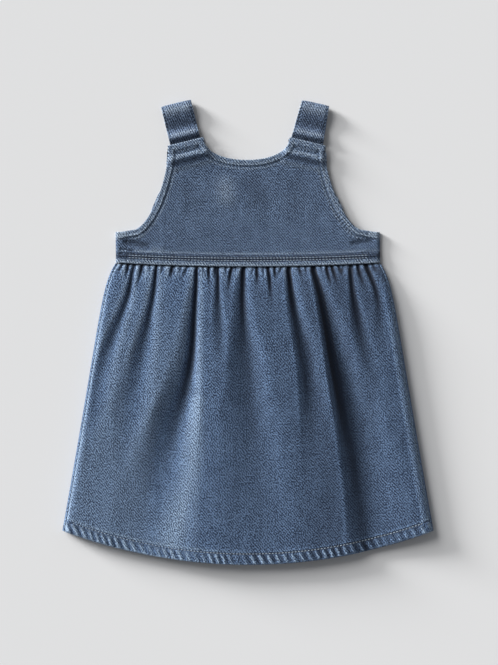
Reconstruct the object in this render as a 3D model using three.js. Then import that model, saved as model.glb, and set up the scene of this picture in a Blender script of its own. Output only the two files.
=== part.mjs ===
// A denim pinafore dress in a small child's size, laid flat on its back with its front up.
// Sizes are in millimetres. +X runs to the right of the front, +Y towards the shoulders and
// +Z up from the surface. The origin is under the middle of the dress, on the surface.
import * as THREE from "three";

// Driving sizes
const DRESS_LENGTH = 442.6; // fold of the straps to the lowest point of the hem
const SKIRT_LENGTH = 283.6; // waist edge to hem, down the middle
const SIDE_LENGTH = 254.8; // waist edge to hem, down a side
const WAIST_WIDTH = 252; // flat, from fold to fold
const WAIST_SAG = 3.6; // how much lower the waist edge lies in the middle
const GATHER_FLARE = 7.5; // how far each side springs out just below the gathers
const GATHER_REACH = 14; // over what length it does so
const SIDE_FLARE = 0.17; // widening of each side for every millimetre down
const HEM_RADIUS = 500; // the hem is an arc
const CLOTH = 1.5; // thickness of a wall
const SEAM_GAP = 0.3; // between pieces that are sewn together
const HEM_TURN = 10.3; // width of the turned hem
const EDGE_TURN = 6.4; // width of the turning round neck and armholes
const WAIST_TURN = 10; // width of the stitched lower edge of the bodice
const TURN_RISE = 0.6; // how much thicker a turned edge is
const TURN_SLOPE = 2; // over what width it thickens
// The same at the waist, where the gathers lie under it, with the thin edge below the stitching
const WAIST_RISE = { height: 1.3, slope: 5, edge: 1.2, atEdge: 0.4 };

// Heights above the surface
const BODICE_TOP = 4.8; // front of the bodice
const BODICE_FOLD = 3.5; // how far the fold of a bodice side reaches in
const WAIST_TOP = 5.2; // skirt at the waist edge
const SKIRT_RISE = { height: 6.3, reach: 22 }; // how it springs up below the gathers
const SKIRT_SWELL = { height: 1.6, x: 10, half: 105, reach: 120 }; // broad swell in the middle
const SKIRT_FLOOR = 3.5; // the deepest folds rest on the back at this height
const FLOOR_SOFTNESS = 0.6; // how softly they reach it
const SIDE_HEIGHT = 4.5; // the outermost line of a skirt side
const SIDE_FOLD = 8; // how far the rounding of a skirt side reaches in
const SIDE_SEAM = 0.25; // place of the side seam in that rounding: 0 on top, 1 underneath

// Bodice outline, right half, from the middle of the neck to the side
const WAIST_Y = SKIRT_LENGTH - DRESS_LENGTH / 2;
const NECK = { half: 41, top: 185.6, depth: 21.6, power: 2.15 };
const TAB_CORNER = [75.2, 177.3]; // outer corner of the tab that takes a strap
const ARMHOLE = [[74.6, 168], [80, 128], [98, 99], [108, 97.5]]; // strap edge to underarm
const UNDERARM = [122.5, 95.2]; // where the side fold starts
const FRONT_HALF = 115; // from the middle to the seam where the back wraps round
const BIB_LEAN = { aside: -1.3, reach: 110 }; // the bib lies a little to the left

// Where each stretch of that outline starts, and the place on the waist below it
const OUTLINE = [
  { at: 0, foot: 0 }, // middle of the neck
  { at: 0.3, foot: 38 }, // inner corner of the tab
  { at: 0.42, foot: 58 }, // outer corner of the tab
  { at: 0.48, foot: 66 }, // top of the armhole curve
  { at: 0.86, foot: 108 }, // underarm
  { at: 1, foot: 122.5 }, // side fold
];

// Straps: the point where one leaves the bib, its lean outwards in degrees, and its widths
const STRAP_LENGTH = 37.6; // bib edge to shoulder fold
const STRAP_TUCK = 16; // what is sewn under the bib
const STRAP_NOSE = { reach: 7, height: 8 }; // the shoulder fold
const STRAPS = [
  { name: "strap_left", side: -1, footX: 59.8, footY: 181.7, lean: 13.8, foldWidth: 29.5, footWidth: 29.5 },
  { name: "strap_right", side: 1, footX: 56.4, footY: 181.7, lean: 12.4, foldWidth: 26.6, footWidth: 31.2 },
];
// Height of a strap's face at each distance from its shoulder fold: it lies in two waves
const STRAP_WAVES = [
  { at: 7, height: 8 },
  { at: 23, height: 5.2 },
  { at: 32, height: 8.1 },
  { at: 38, height: 5.2 },
];
const STRAP_CROWN = 0.4; // how much thinner a strap is at its stitched edges
const STRAP_UNDER = 1.9; // the end that goes to the back lies on it at this height
const STRAP_DIP = 5; // the stretch over which it comes down from there
// How the bib is lifted by the strap ends under it: full height over "half" on each side, then
// falling away over "aside" and "below"
const TAB_RISE = { height: 2.5, half: 16.5, aside: 6, below: 11 };

// Long folds of the skirt front. "x" and "depth" are given at each of FOLD_STATIONS, and the
// widths of the slopes left and right of the valley at each of WIDTH_STATIONS. A "crisp" fold
// has a sharp crest on its left.
const FOLD_STATIONS = [0, 32, 100, 180, 284]; // distances below the waist edge
const WIDTH_STATIONS = [0, 100, 284];
const FOLDS = [
  { x: [-109, -114.5, -140, -150, -155], depth: [1.5, 3.5, 2, 0.3, 0],
    left: [5, 9, 14], right: [6, 14, 30], crisp: 0 },
  { x: [-87, -91, -106, -112, -116], depth: [3, 4.5, 1.2, 0, 0],
    left: [4.5, 9, 16], right: [4.5, 9, 16], crisp: 0 },
  { x: [-48.6, -51, -60, -89, -112], depth: [4, 7.5, 8.5, 5, 0.8],
    left: [4.5, 24, 55], right: [4.5, 12.5, 60], crisp: 0.2 },
  { x: [-28.6, -28, -24, -20, -20], depth: [3, 3, 0, 0, 0],
    left: [4.5, 9, 16], right: [4.5, 9, 16], crisp: 0 },
  { x: [-4, -5.7, -4, 2, 8], depth: [3, 5, 3, 1, 0],
    left: [7, 17, 44], right: [7, 15, 40], crisp: 0 },
  { x: [38, 41.5, 55, 60, 62], depth: [3, 5.5, 3, 0.3, 0],
    left: [4, 8, 14], right: [7, 20, 30], crisp: 0.5 },
  { x: [62, 68.7, 84.5, 99, 114], depth: [4, 8, 9.3, 9, 7.5],
    left: [5, 10.5, 17], right: [7, 34, 60], crisp: 0.7 },
  { x: [97, 100.5, 114, 125, 130], depth: [2.5, 3.2, 0.8, 0, 0],
    left: [5, 10, 20], right: [5, 12, 22], crisp: 0 },
  { x: [112.6, 123, 130, 136, 140], depth: [1.5, 1, 0, 0, 0],
    left: [5, 8, 14], right: [5, 8, 14], crisp: 0 },
];

// Short gathers between them: place on the waist, slant, length, depth and half width
const GATHERS = [
  { x: -113.5, slant: -0.2, length: 10, depth: 2.2, half: 3.5 },
  { x: -100.2, slant: -0.25, length: 14, depth: 2.4, half: 3.5 },
  { x: -72.5, slant: -0.1, length: 9, depth: 2.2, half: 4 },
  { x: -38.2, slant: 0.1, length: 12, depth: 2.2, half: 3 },
  { x: -32.4, slant: 0.1, length: 9, depth: 1.8, half: 2.6 },
  { x: -16.2, slant: -0.1, length: 15, depth: 2.2, half: 3.2 },
  { x: -5.7, slant: 0, length: 12, depth: 2, half: 3 },
  { x: 8.6, slant: 0, length: 12, depth: 2, half: 3 },
  { x: 19.1, slant: 0.1, length: 22, depth: 2.4, half: 3.2 },
  { x: 24.8, slant: 0.1, length: 10, depth: 1.8, half: 2.6 },
  { x: 37.2, slant: 0.2, length: 18, depth: 2.4, half: 3 },
  { x: 60.1, slant: 0.3, length: 14, depth: 2.2, half: 3 },
  { x: 73.5, slant: 0.3, length: 12, depth: 2.2, half: 3 },
  { x: 79.2, slant: 0.3, length: 11, depth: 2, half: 3 },
  { x: 103, slant: 0.35, length: 14, depth: 2.2, half: 3 },
  { x: 110.7, slant: 0.4, length: 12, depth: 2, half: 3 },
];
const GATHER_SPREAD = 0.15; // how fast a gather widens downwards
const GATHER_SIDES = { left: 0.75, right: 1.35 }; // a gather is steeper on its left

// Spacing of the rows and columns that the walls are drawn with
const GATHER_STEP = 4.3; // between columns at the waist
const SKIRT_ROWS = [0, 1.5, 3.5, 6, 9, 13, 18, 25, 34, 46, 60, 78, 98, 120, 145, 170, 195, 220, 244];
const HEM_ROWS = [14, 10.6, 8.8, 4, 1, 0]; // distances up from the hem
const BAND_HEIGHT = 14; // stretch above the waist whose rows lie at fixed heights
const BAND_START = 0.7; // where that stretch starts, as a share of all rows
const OUTLINE_SAMPLES = 160; // points round the bodice, to measure distances from its edge
const STEP = 1e-4; // small change of a parameter, for directions on a surface

const clamp = (t, low, high) => Math.min(high, Math.max(low, t));
const mix = (a, b, t) => a + (b - a) * t;
const between = (a, b, count) => Array.from({ length: count + 1 }, (_, i) => mix(a, b, i / count));

// 0 below 0, 1 above 1, and a soft step from one to the other.
function smooth(t) {
  const c = clamp(t, 0, 1);
  return c * c * (3 - 2 * c);
}

// A smooth curve that has values[i] at stations[i], read at t.
function through(stations, values, t) {
  const last = stations.length - 1;
  const c = clamp(t, stations[0], stations[last]);
  let i = 0;
  while (i < last - 1 && c > stations[i + 1]) {
    i += 1;
  }
  const tangent = (k) => {
    const [a, b] = [Math.max(k - 1, 0), Math.min(k + 1, last)];
    return (values[b] - values[a]) / (stations[b] - stations[a]);
  };
  const span = stations[i + 1] - stations[i];
  const f = (c - stations[i]) / span;
  return (
    (2 * f ** 3 - 3 * f ** 2 + 1) * values[i] +
    (f ** 3 - 2 * f ** 2 + f) * span * tangent(i) +
    (3 * f ** 2 - 2 * f ** 3) * values[i + 1] +
    (f ** 3 - f ** 2) * span * tangent(i + 1)
  );
}

// A closed wall: skin(t, v) is its outer face, t across and v along, and the inner face lies one
// thickness under it. "relief" raises the outer face alone.
function wallOf(skin, across, along, relief = () => 0, thickness = CLOTH) {
  const faces = [];
  const width = across.length;
  const height = along.length;
  const outer = (row, column) => row * width + column;
  const inner = (row, column) => width * height + row * width + column;
  const outerPoints = [];
  const innerPoints = [];
  for (const v of along) {
    for (const t of across) {
      const [before, after] = [Math.max(v - STEP, along[0]), Math.min(v + STEP, along[height - 1])];
      const [left, right] = [Math.max(t - STEP, across[0]), Math.min(t + STEP, across[width - 1])];
      const down = skin(t, after).sub(skin(t, before));
      const normal = down.cross(skin(right, v).sub(skin(left, v))).normalize();
      const point = skin(t, v);
      outerPoints.push(point.clone().addScaledVector(normal, relief(t, v)));
      innerPoints.push(point.addScaledVector(normal, -thickness));
    }
  }
  const positions = [...outerPoints, ...innerPoints].flatMap((point) => point.toArray());
  for (let row = 0; row < height - 1; row += 1) {
    for (let column = 0; column < width - 1; column += 1) {
      for (const [at, flip] of [[outer, false], [inner, true]]) {
        const [a, b] = [at(row, column), at(row, column + 1)];
        const [d, c] = [at(row + 1, column), at(row + 1, column + 1)];
        faces.push(...(flip ? [a, c, d, a, b, c] : [a, d, c, a, c, b]));
      }
    }
  }
  const rows = [...Array(height).keys()];
  const columns = [...Array(width).keys()];
  const rim = [
    ...rows.slice(0, -1).map((row) => [row, 0]),
    ...columns.slice(0, -1).map((column) => [height - 1, column]),
    ...rows.slice(1).reverse().map((row) => [row, width - 1]),
    ...columns.slice(1).reverse().map((column) => [0, column]),
  ];
  rim.forEach((place, i) => {
    const next = rim[(i + 1) % rim.length];
    const [p, q] = [outer(...place), outer(...next)];
    const [pIn, qIn] = [inner(...place), inner(...next)];
    faces.push(q, p, pIn, q, pIn, qIn);
  });
  const geometry = new THREE.BufferGeometry();
  geometry.setAttribute("position", new THREE.Float32BufferAttribute(positions, 3));
  geometry.setIndex(faces);
  geometry.computeVertexNormals();
  return geometry;
}

const waistY = (x) => WAIST_Y + WAIST_SAG * (x / (WAIST_WIDTH / 2)) ** 2;
const hemY = (x) => HEM_RADIUS - DRESS_LENGTH / 2 - Math.sqrt(HEM_RADIUS ** 2 - x ** 2);

// Half the width of the skirt, s below the waist edge.
function halfWidth(s) {
  return WAIST_WIDTH / 2 + GATHER_FLARE * (1 - Math.exp(-s / GATHER_REACH)) + SIDE_FLARE * s;
}

// 1 in the valley, falling to 0 at "left" and "right" of it.
function trough(distance, left, right, crisp) {
  const t = distance < 0 ? -distance / left : distance / right;
  if (t >= 1) return 0;
  return distance < 0 ? mix(1 - smooth(t), Math.cos((Math.PI / 2) * t), crisp) : 1 - smooth(t);
}

// Height of the skirt front at x, s below the waist edge: a swelling, less its folds and gathers.
function skirtHeight(x, s) {
  const swell = smooth(1 - Math.abs(x - SKIRT_SWELL.x) / SKIRT_SWELL.half) * smooth(s / SKIRT_SWELL.reach);
  let height = WAIST_TOP + SKIRT_RISE.height * (1 - Math.exp(-s / SKIRT_RISE.reach));
  height += SKIRT_SWELL.height * swell;
  for (const fold of FOLDS) {
    const depth = Math.max(through(FOLD_STATIONS, fold.depth, s), 0);
    const left = through(WIDTH_STATIONS, fold.left, s);
    const right = through(WIDTH_STATIONS, fold.right, s);
    height -= depth * trough(x - through(FOLD_STATIONS, fold.x, s), left, right, fold.crisp);
  }
  for (const gather of GATHERS) {
    const half = gather.half + GATHER_SPREAD * s;
    const depth = gather.depth * Math.exp(-((s / gather.length) ** 2));
    const aside = x - gather.x - gather.slant * s;
    height -= depth * trough(aside, half * GATHER_SIDES.left, half * GATHER_SIDES.right, 0);
  }
  const above = height - SKIRT_FLOOR;
  return SKIRT_FLOOR + (above + Math.hypot(above, FLOOR_SOFTNESS)) / 2;
}

// The skirt as a ring: t from -1 to 1 is the front, 1 to 2 the right side going under, 2 to 4 the
// back from right to left, and 4 to 5 the left side coming up. v runs from waist to hem.
function skirtRing(t, v) {
  const half = halfWidth(v * SIDE_LENGTH) - SIDE_FOLD;
  const turn = Math.PI * (t < 3 ? clamp(t - 1, 0, 1) : clamp(5 - t, 0, 1));
  const side = t < 3 ? 1 : -1;
  let x = t * half;
  if (t > 2 && t < 4) x = (3 - t) * half;
  else if (t > 1) x = side * (half + SIDE_FOLD * Math.sin(turn));
  const top = waistY(x) - SEAM_GAP;
  const y = mix(top, hemY(x), v);
  const upper = skirtHeight(x, waistY(x) - y) - SIDE_HEIGHT;
  const height = SIDE_HEIGHT + (Math.cos(turn) > 0 ? upper : SIDE_HEIGHT) * Math.cos(turn);
  return new THREE.Vector3(x, y, Math.max(height, 0));
}

// The turned hem is thicker than the cloth above it.
function hemRelief(t, v) {
  return TURN_RISE * smooth((HEM_TURN + TURN_SLOPE / 2 - (1 - v) * SKIRT_LENGTH) / TURN_SLOPE);
}

// Rows of the skirt, close together in the gathers and at the hem.
const skirtRows = [
  ...SKIRT_ROWS.map((s) => s / SKIRT_LENGTH),
  ...HEM_ROWS.map((up) => 1 - up / SKIRT_LENGTH),
];

// Columns of the skirt front: one in each valley, and evenly spaced ones between them.
function gatherColumns() {
  const half = WAIST_WIDTH / 2 - SIDE_FOLD;
  const valleys = [...FOLDS.map((fold) => fold.x[0]), ...GATHERS.map((gather) => gather.x)];
  const stops = [-half, ...valleys.sort((a, b) => a - b), half];
  const columns = stops.slice(1).flatMap((stop, i) => {
    const count = Math.max(2, Math.round((stop - stops[i]) / GATHER_STEP));
    return between(stops[i], stop, count).slice(0, -1);
  });
  return [...columns, half].map((x) => x / half);
}

function skirtFront() {
  const seam = 1 + SIDE_SEAM;
  const inner = gatherColumns();
  const across = [-seam, ...between(-seam, -1, 3).slice(1, -1), ...inner, ...between(1, seam, 3).slice(1)];
  const skin = (t, v) => (t < -1 ? skirtRing(t + 6, v) : skirtRing(t, v));
  return wallOf(skin, across, skirtRows, hemRelief);
}

function skirtBack() {
  const gap = SEAM_GAP / ((SIDE_FOLD + SIDE_HEIGHT) * Math.PI / 2); // as a share of the rounding
  const right = 1 + SIDE_SEAM + gap;
  const left = 5 - SIDE_SEAM - gap;
  const across = [...between(right, 2, 7), ...between(2, 4, 12).slice(1), ...between(4, left, 7).slice(1)];
  const rows = [0, 3.5, 9, 18, 34, 60, 98, 145, 195, 244].map((s) => s / SKIRT_LENGTH);
  return wallOf(skirtRing, across, [...rows, 1 - HEM_TURN / SKIRT_LENGTH, 1]);
}

// The bodice outline: u from 0 at the middle of the neck to 1 at the side fold, or to -1 on the
// left. Gives the point on the outline and the place on the waist that its column starts from.
function bodiceOutline(u) {
  const a = Math.min(Math.abs(u), 1);
  let stretch = 0;
  while (stretch < OUTLINE.length - 2 && a > OUTLINE[stretch + 1].at) {
    stretch += 1;
  }
  const [from, to] = [OUTLINE[stretch], OUTLINE[stretch + 1]];
  const f = (a - from.at) / (to.at - from.at);
  const neckEnd = [NECK.half, NECK.top];
  const straight = [null, [neckEnd, TAB_CORNER], [TAB_CORNER, ARMHOLE[0]], null, [ARMHOLE[3], UNDERARM]];
  let point;
  if (stretch === 0) {
    const angle = (Math.PI / 2) * f;
    const power = 2 / NECK.power;
    point = [NECK.half * Math.sin(angle) ** power, NECK.top - NECK.depth * Math.cos(angle) ** power];
  } else if (stretch === 3) {
    const weights = [(1 - f) ** 3, 3 * f * (1 - f) ** 2, 3 * f ** 2 * (1 - f), f ** 3];
    point = [0, 1].map((axis) => weights.reduce((sum, w, k) => sum + w * ARMHOLE[k][axis], 0));
  } else {
    const [start, end] = straight[stretch];
    point = [mix(start[0], end[0], f), mix(start[1], end[1], f)];
  }
  const side = Math.sign(u) || 1;
  return { x: side * point[0], y: point[1], foot: side * mix(from.foot, to.foot, f) };
}

const leanAt = (y) => BIB_LEAN.aside * smooth((y - WAIST_Y) / BIB_LEAN.reach);

// A point of the bodice, v from 0 on the outline down to 1 at the waist. The last stretch of v,
// from BAND_START, always covers the same height above the waist.
function bodicePoint(u, v) {
  const top = bodiceOutline(u);
  const band = BAND_HEIGHT / (top.y - waistY(top.foot));
  const share = v < BAND_START
    ? (v / BAND_START) * (1 - band)
    : 1 - ((1 - v) / (1 - BAND_START)) * band;
  const x = mix(top.x, top.foot, share);
  const y = mix(top.y, waistY(top.foot), share);
  return { x: x + leanAt(y), y };
}

// How far the front of the bib is lifted by the strap ends sewn under it.
function tabRise(x, y) {
  const strap = STRAPS[x < 0 ? 0 : 1];
  const lean = THREE.MathUtils.degToRad(strap.lean);
  const outwards = strap.side * x - strap.footX;
  const down = strap.footY - y;
  const along = down * Math.cos(lean) - outwards * Math.sin(lean);
  const aside = Math.abs(outwards * Math.cos(lean) + down * Math.sin(lean));
  const { height, half, below } = TAB_RISE;
  const beside = smooth((aside - half) / TAB_RISE.aside);
  return height * (1 - smooth((along - STRAP_TUCK - 1) / below)) * (1 - beside);
}

function bodiceFrontSkin(u, v) {
  const { x, y } = bodicePoint(u, v);
  return new THREE.Vector3(x, y, BODICE_TOP + tabRise(x, y));
}

// Points round the bodice outline, to measure how near its edge a place is.
const outlinePoints = between(-1, 1, OUTLINE_SAMPLES).map((u) => bodicePoint(u, 0));

function edgeDistance(x, y) {
  return Math.min(...outlinePoints.map((point) => Math.hypot(point.x - x, point.y - y)));
}

// Turnings of the bodice: round the neck and armholes, and deeper at the waist edge.
function turningRise(x, y) {
  const up = y - waistY(x);
  const { height, slope, edge, atEdge } = WAIST_RISE;
  const turned = TURN_RISE * smooth((EDGE_TURN + TURN_SLOPE / 2 - edgeDistance(x, y)) / TURN_SLOPE);
  const waist = height * smooth((WAIST_TURN + slope / 2 - up) / slope) * mix(atEdge, 1, smooth(up / edge));
  return Math.max(turned, waist);
}

// Rows of the bodice: from the outline down to the band, and then close together.
const bodiceRowsOf = (spread, heights) => [
  ...spread.map((share) => share * BAND_START),
  ...heights.map((up) => 1 - (up / BAND_HEIGHT) * (1 - BAND_START)),
];

// Columns: the share of each stretch of the outline, mirrored to the left.
function bodiceColumns(end) {
  const counts = [6, 3, 1, 7, 2];
  const stops = OUTLINE.map((place) => Math.min(place.at, end));
  const right = counts.flatMap((count, i) => between(stops[i], stops[i + 1], count).slice(1));
  return [...right.map((u) => -u).reverse(), 0, ...right];
}

function bodiceFront() {
  const last = OUTLINE.length - 2;
  const share = (FRONT_HALF - OUTLINE[last].foot) / (OUTLINE[last + 1].foot - OUTLINE[last].foot);
  const end = mix(OUTLINE[last].at, 1, share);
  const relief = (u, v) => {
    const { x, y } = bodicePoint(u, v);
    return turningRise(x, y);
  };
  const rows = bodiceRowsOf([0, 0.06, 0.15, 0.26, 0.4, 0.56, 0.72, 0.87], [14, 12, 10, 8, 4.5, 1.2, 0]);
  return wallOf(bodiceFrontSkin, bodiceColumns(end), rows, relief);
}

// The back of the bodice as a strip: it comes from the seam on the front right, folds under, runs
// to the left as the back, and folds up again. t is 0 to 1 on the front, 1 to 2 in the fold,
// 2 to 4 underneath, 4 to 5 in the other fold and 5 to 6 on the front again.
function bodiceBackSkin(t, v) {
  const side = t < 3 ? 1 : -1;
  const place = t < 3 ? t : 6 - t;
  const fold = WAIST_WIDTH / 2 - BODICE_FOLD;
  if (place > 2) {
    const { x, y } = bodicePoint(3 - t, v);
    return new THREE.Vector3(x, y, 0);
  }
  const turn = Math.PI * clamp(place - 1, 0, 1);
  const out = place < 1 ? mix(FRONT_HALF + SEAM_GAP, fold, place) : fold + BODICE_FOLD * Math.sin(turn);
  const x = side * out;
  const underarm = (UNDERARM[0] - out) / (UNDERARM[0] - ARMHOLE[3][0]);
  const y = mix(mix(UNDERARM[1], ARMHOLE[3][1], Math.max(underarm, 0)), waistY(x), v);
  return new THREE.Vector3(x + leanAt(y), y, (BODICE_TOP / 2) * (1 + Math.cos(turn)));
}

function bodiceBack() {
  const under = bodiceColumns(1).map((u) => 3 - u).reverse();
  const across = [0, 0.5, ...between(1, 2, 5).slice(0, -1), ...under, ...between(4, 5, 5).slice(1), 5.5, 6];
  const relief = (t, v) => {
    if (t > 1 && t < 5) return 0;
    const { x, y } = bodiceBackSkin(t, v);
    return turningRise(x, y);
  };
  const rows = bodiceRowsOf([0, 0.1, 0.3, 0.55, 0.8], [14, 10, 5, 1.2, 0]);
  return wallOf(bodiceBackSkin, across, rows, relief);
}

// Height of a strap's face on the front, at a distance from its shoulder fold.
function waveHeight(down) {
  const next = STRAP_WAVES.findIndex((wave) => wave.at > down);
  if (next < 0) return STRAP_WAVES.at(-1).height;
  const [a, b] = [STRAP_WAVES[Math.max(next - 1, 0)], STRAP_WAVES[next]];
  return mix(a.height, b.height, smooth((down - a.at) / Math.max(b.at - a.at, 1)));
}

// The face of a strap as one strip, t from -0.5 to 0.5 across it. v from 0 to 1 runs up behind from
// the end on the back of the bodice, 1 to 2 round the shoulder fold, and 2 to 3 down the front.
function strapSkin(strap, t, v) {
  const whole = STRAP_LENGTH + STRAP_TUCK;
  const { reach, height } = STRAP_NOSE;
  const turn = Math.PI * clamp(v - 1, 0, 1);
  let down = reach * (1 - Math.sin(turn));
  let z = (height / 2) * (1 - Math.cos(turn));
  if (v < 1) {
    down = mix(whole, reach, v);
    z = STRAP_UNDER * smooth((down - STRAP_LENGTH + STRAP_DIP) / STRAP_DIP);
  } else if (v > 2) {
    down = mix(reach, whole, v - 2);
    z = waveHeight(down);
  }
  const lean = THREE.MathUtils.degToRad(strap.lean) * strap.side;
  const up = STRAP_LENGTH - down;
  const aside = t * mix(strap.foldWidth, strap.footWidth, clamp(down / STRAP_LENGTH, 0, 1));
  const x = strap.side * strap.footX + up * Math.sin(lean) + aside * Math.cos(lean);
  const y = strap.footY + up * Math.cos(lean) - aside * Math.sin(lean);
  return new THREE.Vector3(x, y, z);
}

function strapGeometry(strap) {
  const along = [...between(0, 1, 10), ...between(1, 2, 8).slice(1), ...between(2, 3, 16).slice(1)];
  const skin = (t, v) => strapSkin(strap, t, v);
  return wallOf(skin, between(-0.5, 0.5, 4), along, (t) => -STRAP_CROWN * (2 * t) ** 4);
}

const dressGroup = new THREE.Group();
const denim = { roughness: 0.95, metalness: 0 };

function addPiece(name, geometry, color) {
  const mesh = new THREE.Mesh(geometry, new THREE.MeshStandardMaterial({ ...denim, color }));
  mesh.name = name;
  dressGroup.add(mesh);
}

addPiece("skirt_front", skirtFront(), 0x4d5f79);
addPiece("skirt_back", skirtBack(), 0x4b5d76);
addPiece("bodice_front", bodiceFront(), 0x4d5d75);
addPiece("bodice_back", bodiceBack(), 0x4b5b73);
for (const strap of STRAPS) addPiece(strap.name, strapGeometry(strap), 0x4b5b71);

export default dressGroup;
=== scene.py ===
# A denim pinafore dress in a small child's size, laid flat with its front up on a pale floor.
# Lengths are in millimetres and become metres as the meshes are made. +X is to the right of the
# front, +Y towards the shoulders and +Z up from the floor.
import bpy
import math
import numpy as np
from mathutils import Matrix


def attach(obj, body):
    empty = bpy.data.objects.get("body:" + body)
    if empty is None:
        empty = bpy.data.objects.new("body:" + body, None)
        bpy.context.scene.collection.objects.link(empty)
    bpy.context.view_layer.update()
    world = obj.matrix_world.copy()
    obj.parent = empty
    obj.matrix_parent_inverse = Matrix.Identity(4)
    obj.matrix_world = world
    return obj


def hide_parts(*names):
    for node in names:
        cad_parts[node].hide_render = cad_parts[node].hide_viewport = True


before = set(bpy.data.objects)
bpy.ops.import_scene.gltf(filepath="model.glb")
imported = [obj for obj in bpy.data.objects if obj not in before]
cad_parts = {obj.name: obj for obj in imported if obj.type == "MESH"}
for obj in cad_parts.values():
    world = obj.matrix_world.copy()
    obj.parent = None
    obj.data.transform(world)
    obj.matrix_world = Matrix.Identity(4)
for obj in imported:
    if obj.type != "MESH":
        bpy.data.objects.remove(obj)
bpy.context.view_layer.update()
print("frame loaded:", ", ".join(sorted(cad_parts)))

mm = 0.001
dress = {
    "length": 442.6,  # shoulder fold to the lowest point of the hem
    "skirtLength": 283.6,
    "sideLength": 254.8,
    "waistWidth": 252,
    "waistSag": 3.6,
    "hemRadius": 500,
    "seamGap": 0.3,
    "cloth": 1.1,  # thickness of one layer
    "stitchPitch": 3.1,
}
waistMiddle = dress["skirtLength"] - dress["length"] / 2


# ---- small helpers on arrays

def smooth(t):
    # 0 below 0, 1 above 1 and a soft step between them
    c = np.clip(t, 0, 1)
    return c * c * (3 - 2 * c)


def mix(a, b, t):
    return a + (b - a) * t


def bump(d, half):
    # 1 at the middle of a bell, nearly 0 at twice its half width
    return np.exp(-(d / half) ** 2)


def through(stations, values, t):
    # a smooth curve with each value at its station: cubic pieces with shared slopes
    x, v = np.array(stations, float), np.array(values, float)
    before, after = np.r_[0, 0:len(v) - 1], np.r_[1:len(v), len(v) - 1]
    slope = (v[after] - v[before]) / (x[after] - x[before])
    t = np.clip(t, x[0], x[-1])
    i = np.clip(np.searchsorted(x, t, side="right") - 1, 0, len(x) - 2)
    span = x[i + 1] - x[i]
    f = (t - x[i]) / span
    return ((2 * f**3 - 3 * f**2 + 1) * v[i] + (f**3 - 2 * f**2 + f) * span * slope[i]
            + (3 * f**2 - 2 * f**3) * v[i + 1] + (f**3 - f**2) * span * slope[i + 1])


def spaced(stops):
    # stations from stop to stop, each stretch cut evenly into steps of about its own size
    places = [np.linspace(a, b, max(2, round(abs(b - a) / step) + 1))[:-1]
              for (a, step), (b, _) in zip(stops, stops[1:])]
    return np.concatenate([*places, [stops[-1][0]]])


def unevenness(x, y, seed, size, stretch=1.0):
    # a quiet random swelling, the sum of eight slanting waves about one size long
    dice = np.random.default_rng(seed)
    total = np.zeros(np.broadcast(x, y).shape)
    fullTurn = 6.283
    draws = zip(dice.uniform(0, fullTurn, 8), dice.uniform(0, fullTurn, 8), dice.uniform(0.7, 1.5, 8))
    for turn, phase, scale in draws:
        slanted = x * math.cos(turn) + y * math.sin(turn) / stretch
        total += np.sin(slanted * fullTurn / (size * scale) + phase)
    return total / 8


# ---- meshes

def makeMesh(name, points, faces, flatFaces=(), cloth=None, tone=None):
    # points in millimetres; cloth holds each point's place in the flat cloth, tone its wear and its painted
    # light and shade
    mesh = bpy.data.meshes.new(name)
    mesh.from_pydata((np.asarray(points) * mm).tolist(), [], [*faces, *flatFaces])
    soft = np.ones(len(mesh.polygons), bool)
    soft[len(faces):] = False
    mesh.polygons.foreach_set("use_smooth", soft)
    corners = np.empty(len(mesh.loops), np.int32)
    mesh.loops.foreach_get("vertex_index", corners)
    if cloth is not None:
        layer = mesh.uv_layers.new(name="cloth")
        layer.uv.foreach_set("vector", np.asarray(cloth, np.float32)[corners].ravel() * 0.01)
    if tone is not None:
        layer = mesh.attributes.new("tone", "FLOAT", "POINT")
        layer.data.foreach_set("value", np.asarray(tone, np.float32).ravel())
    mesh.validate()
    mesh.update()
    piece = bpy.data.objects.new(name, mesh)
    bpy.context.scene.collection.objects.link(piece)
    return piece


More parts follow.
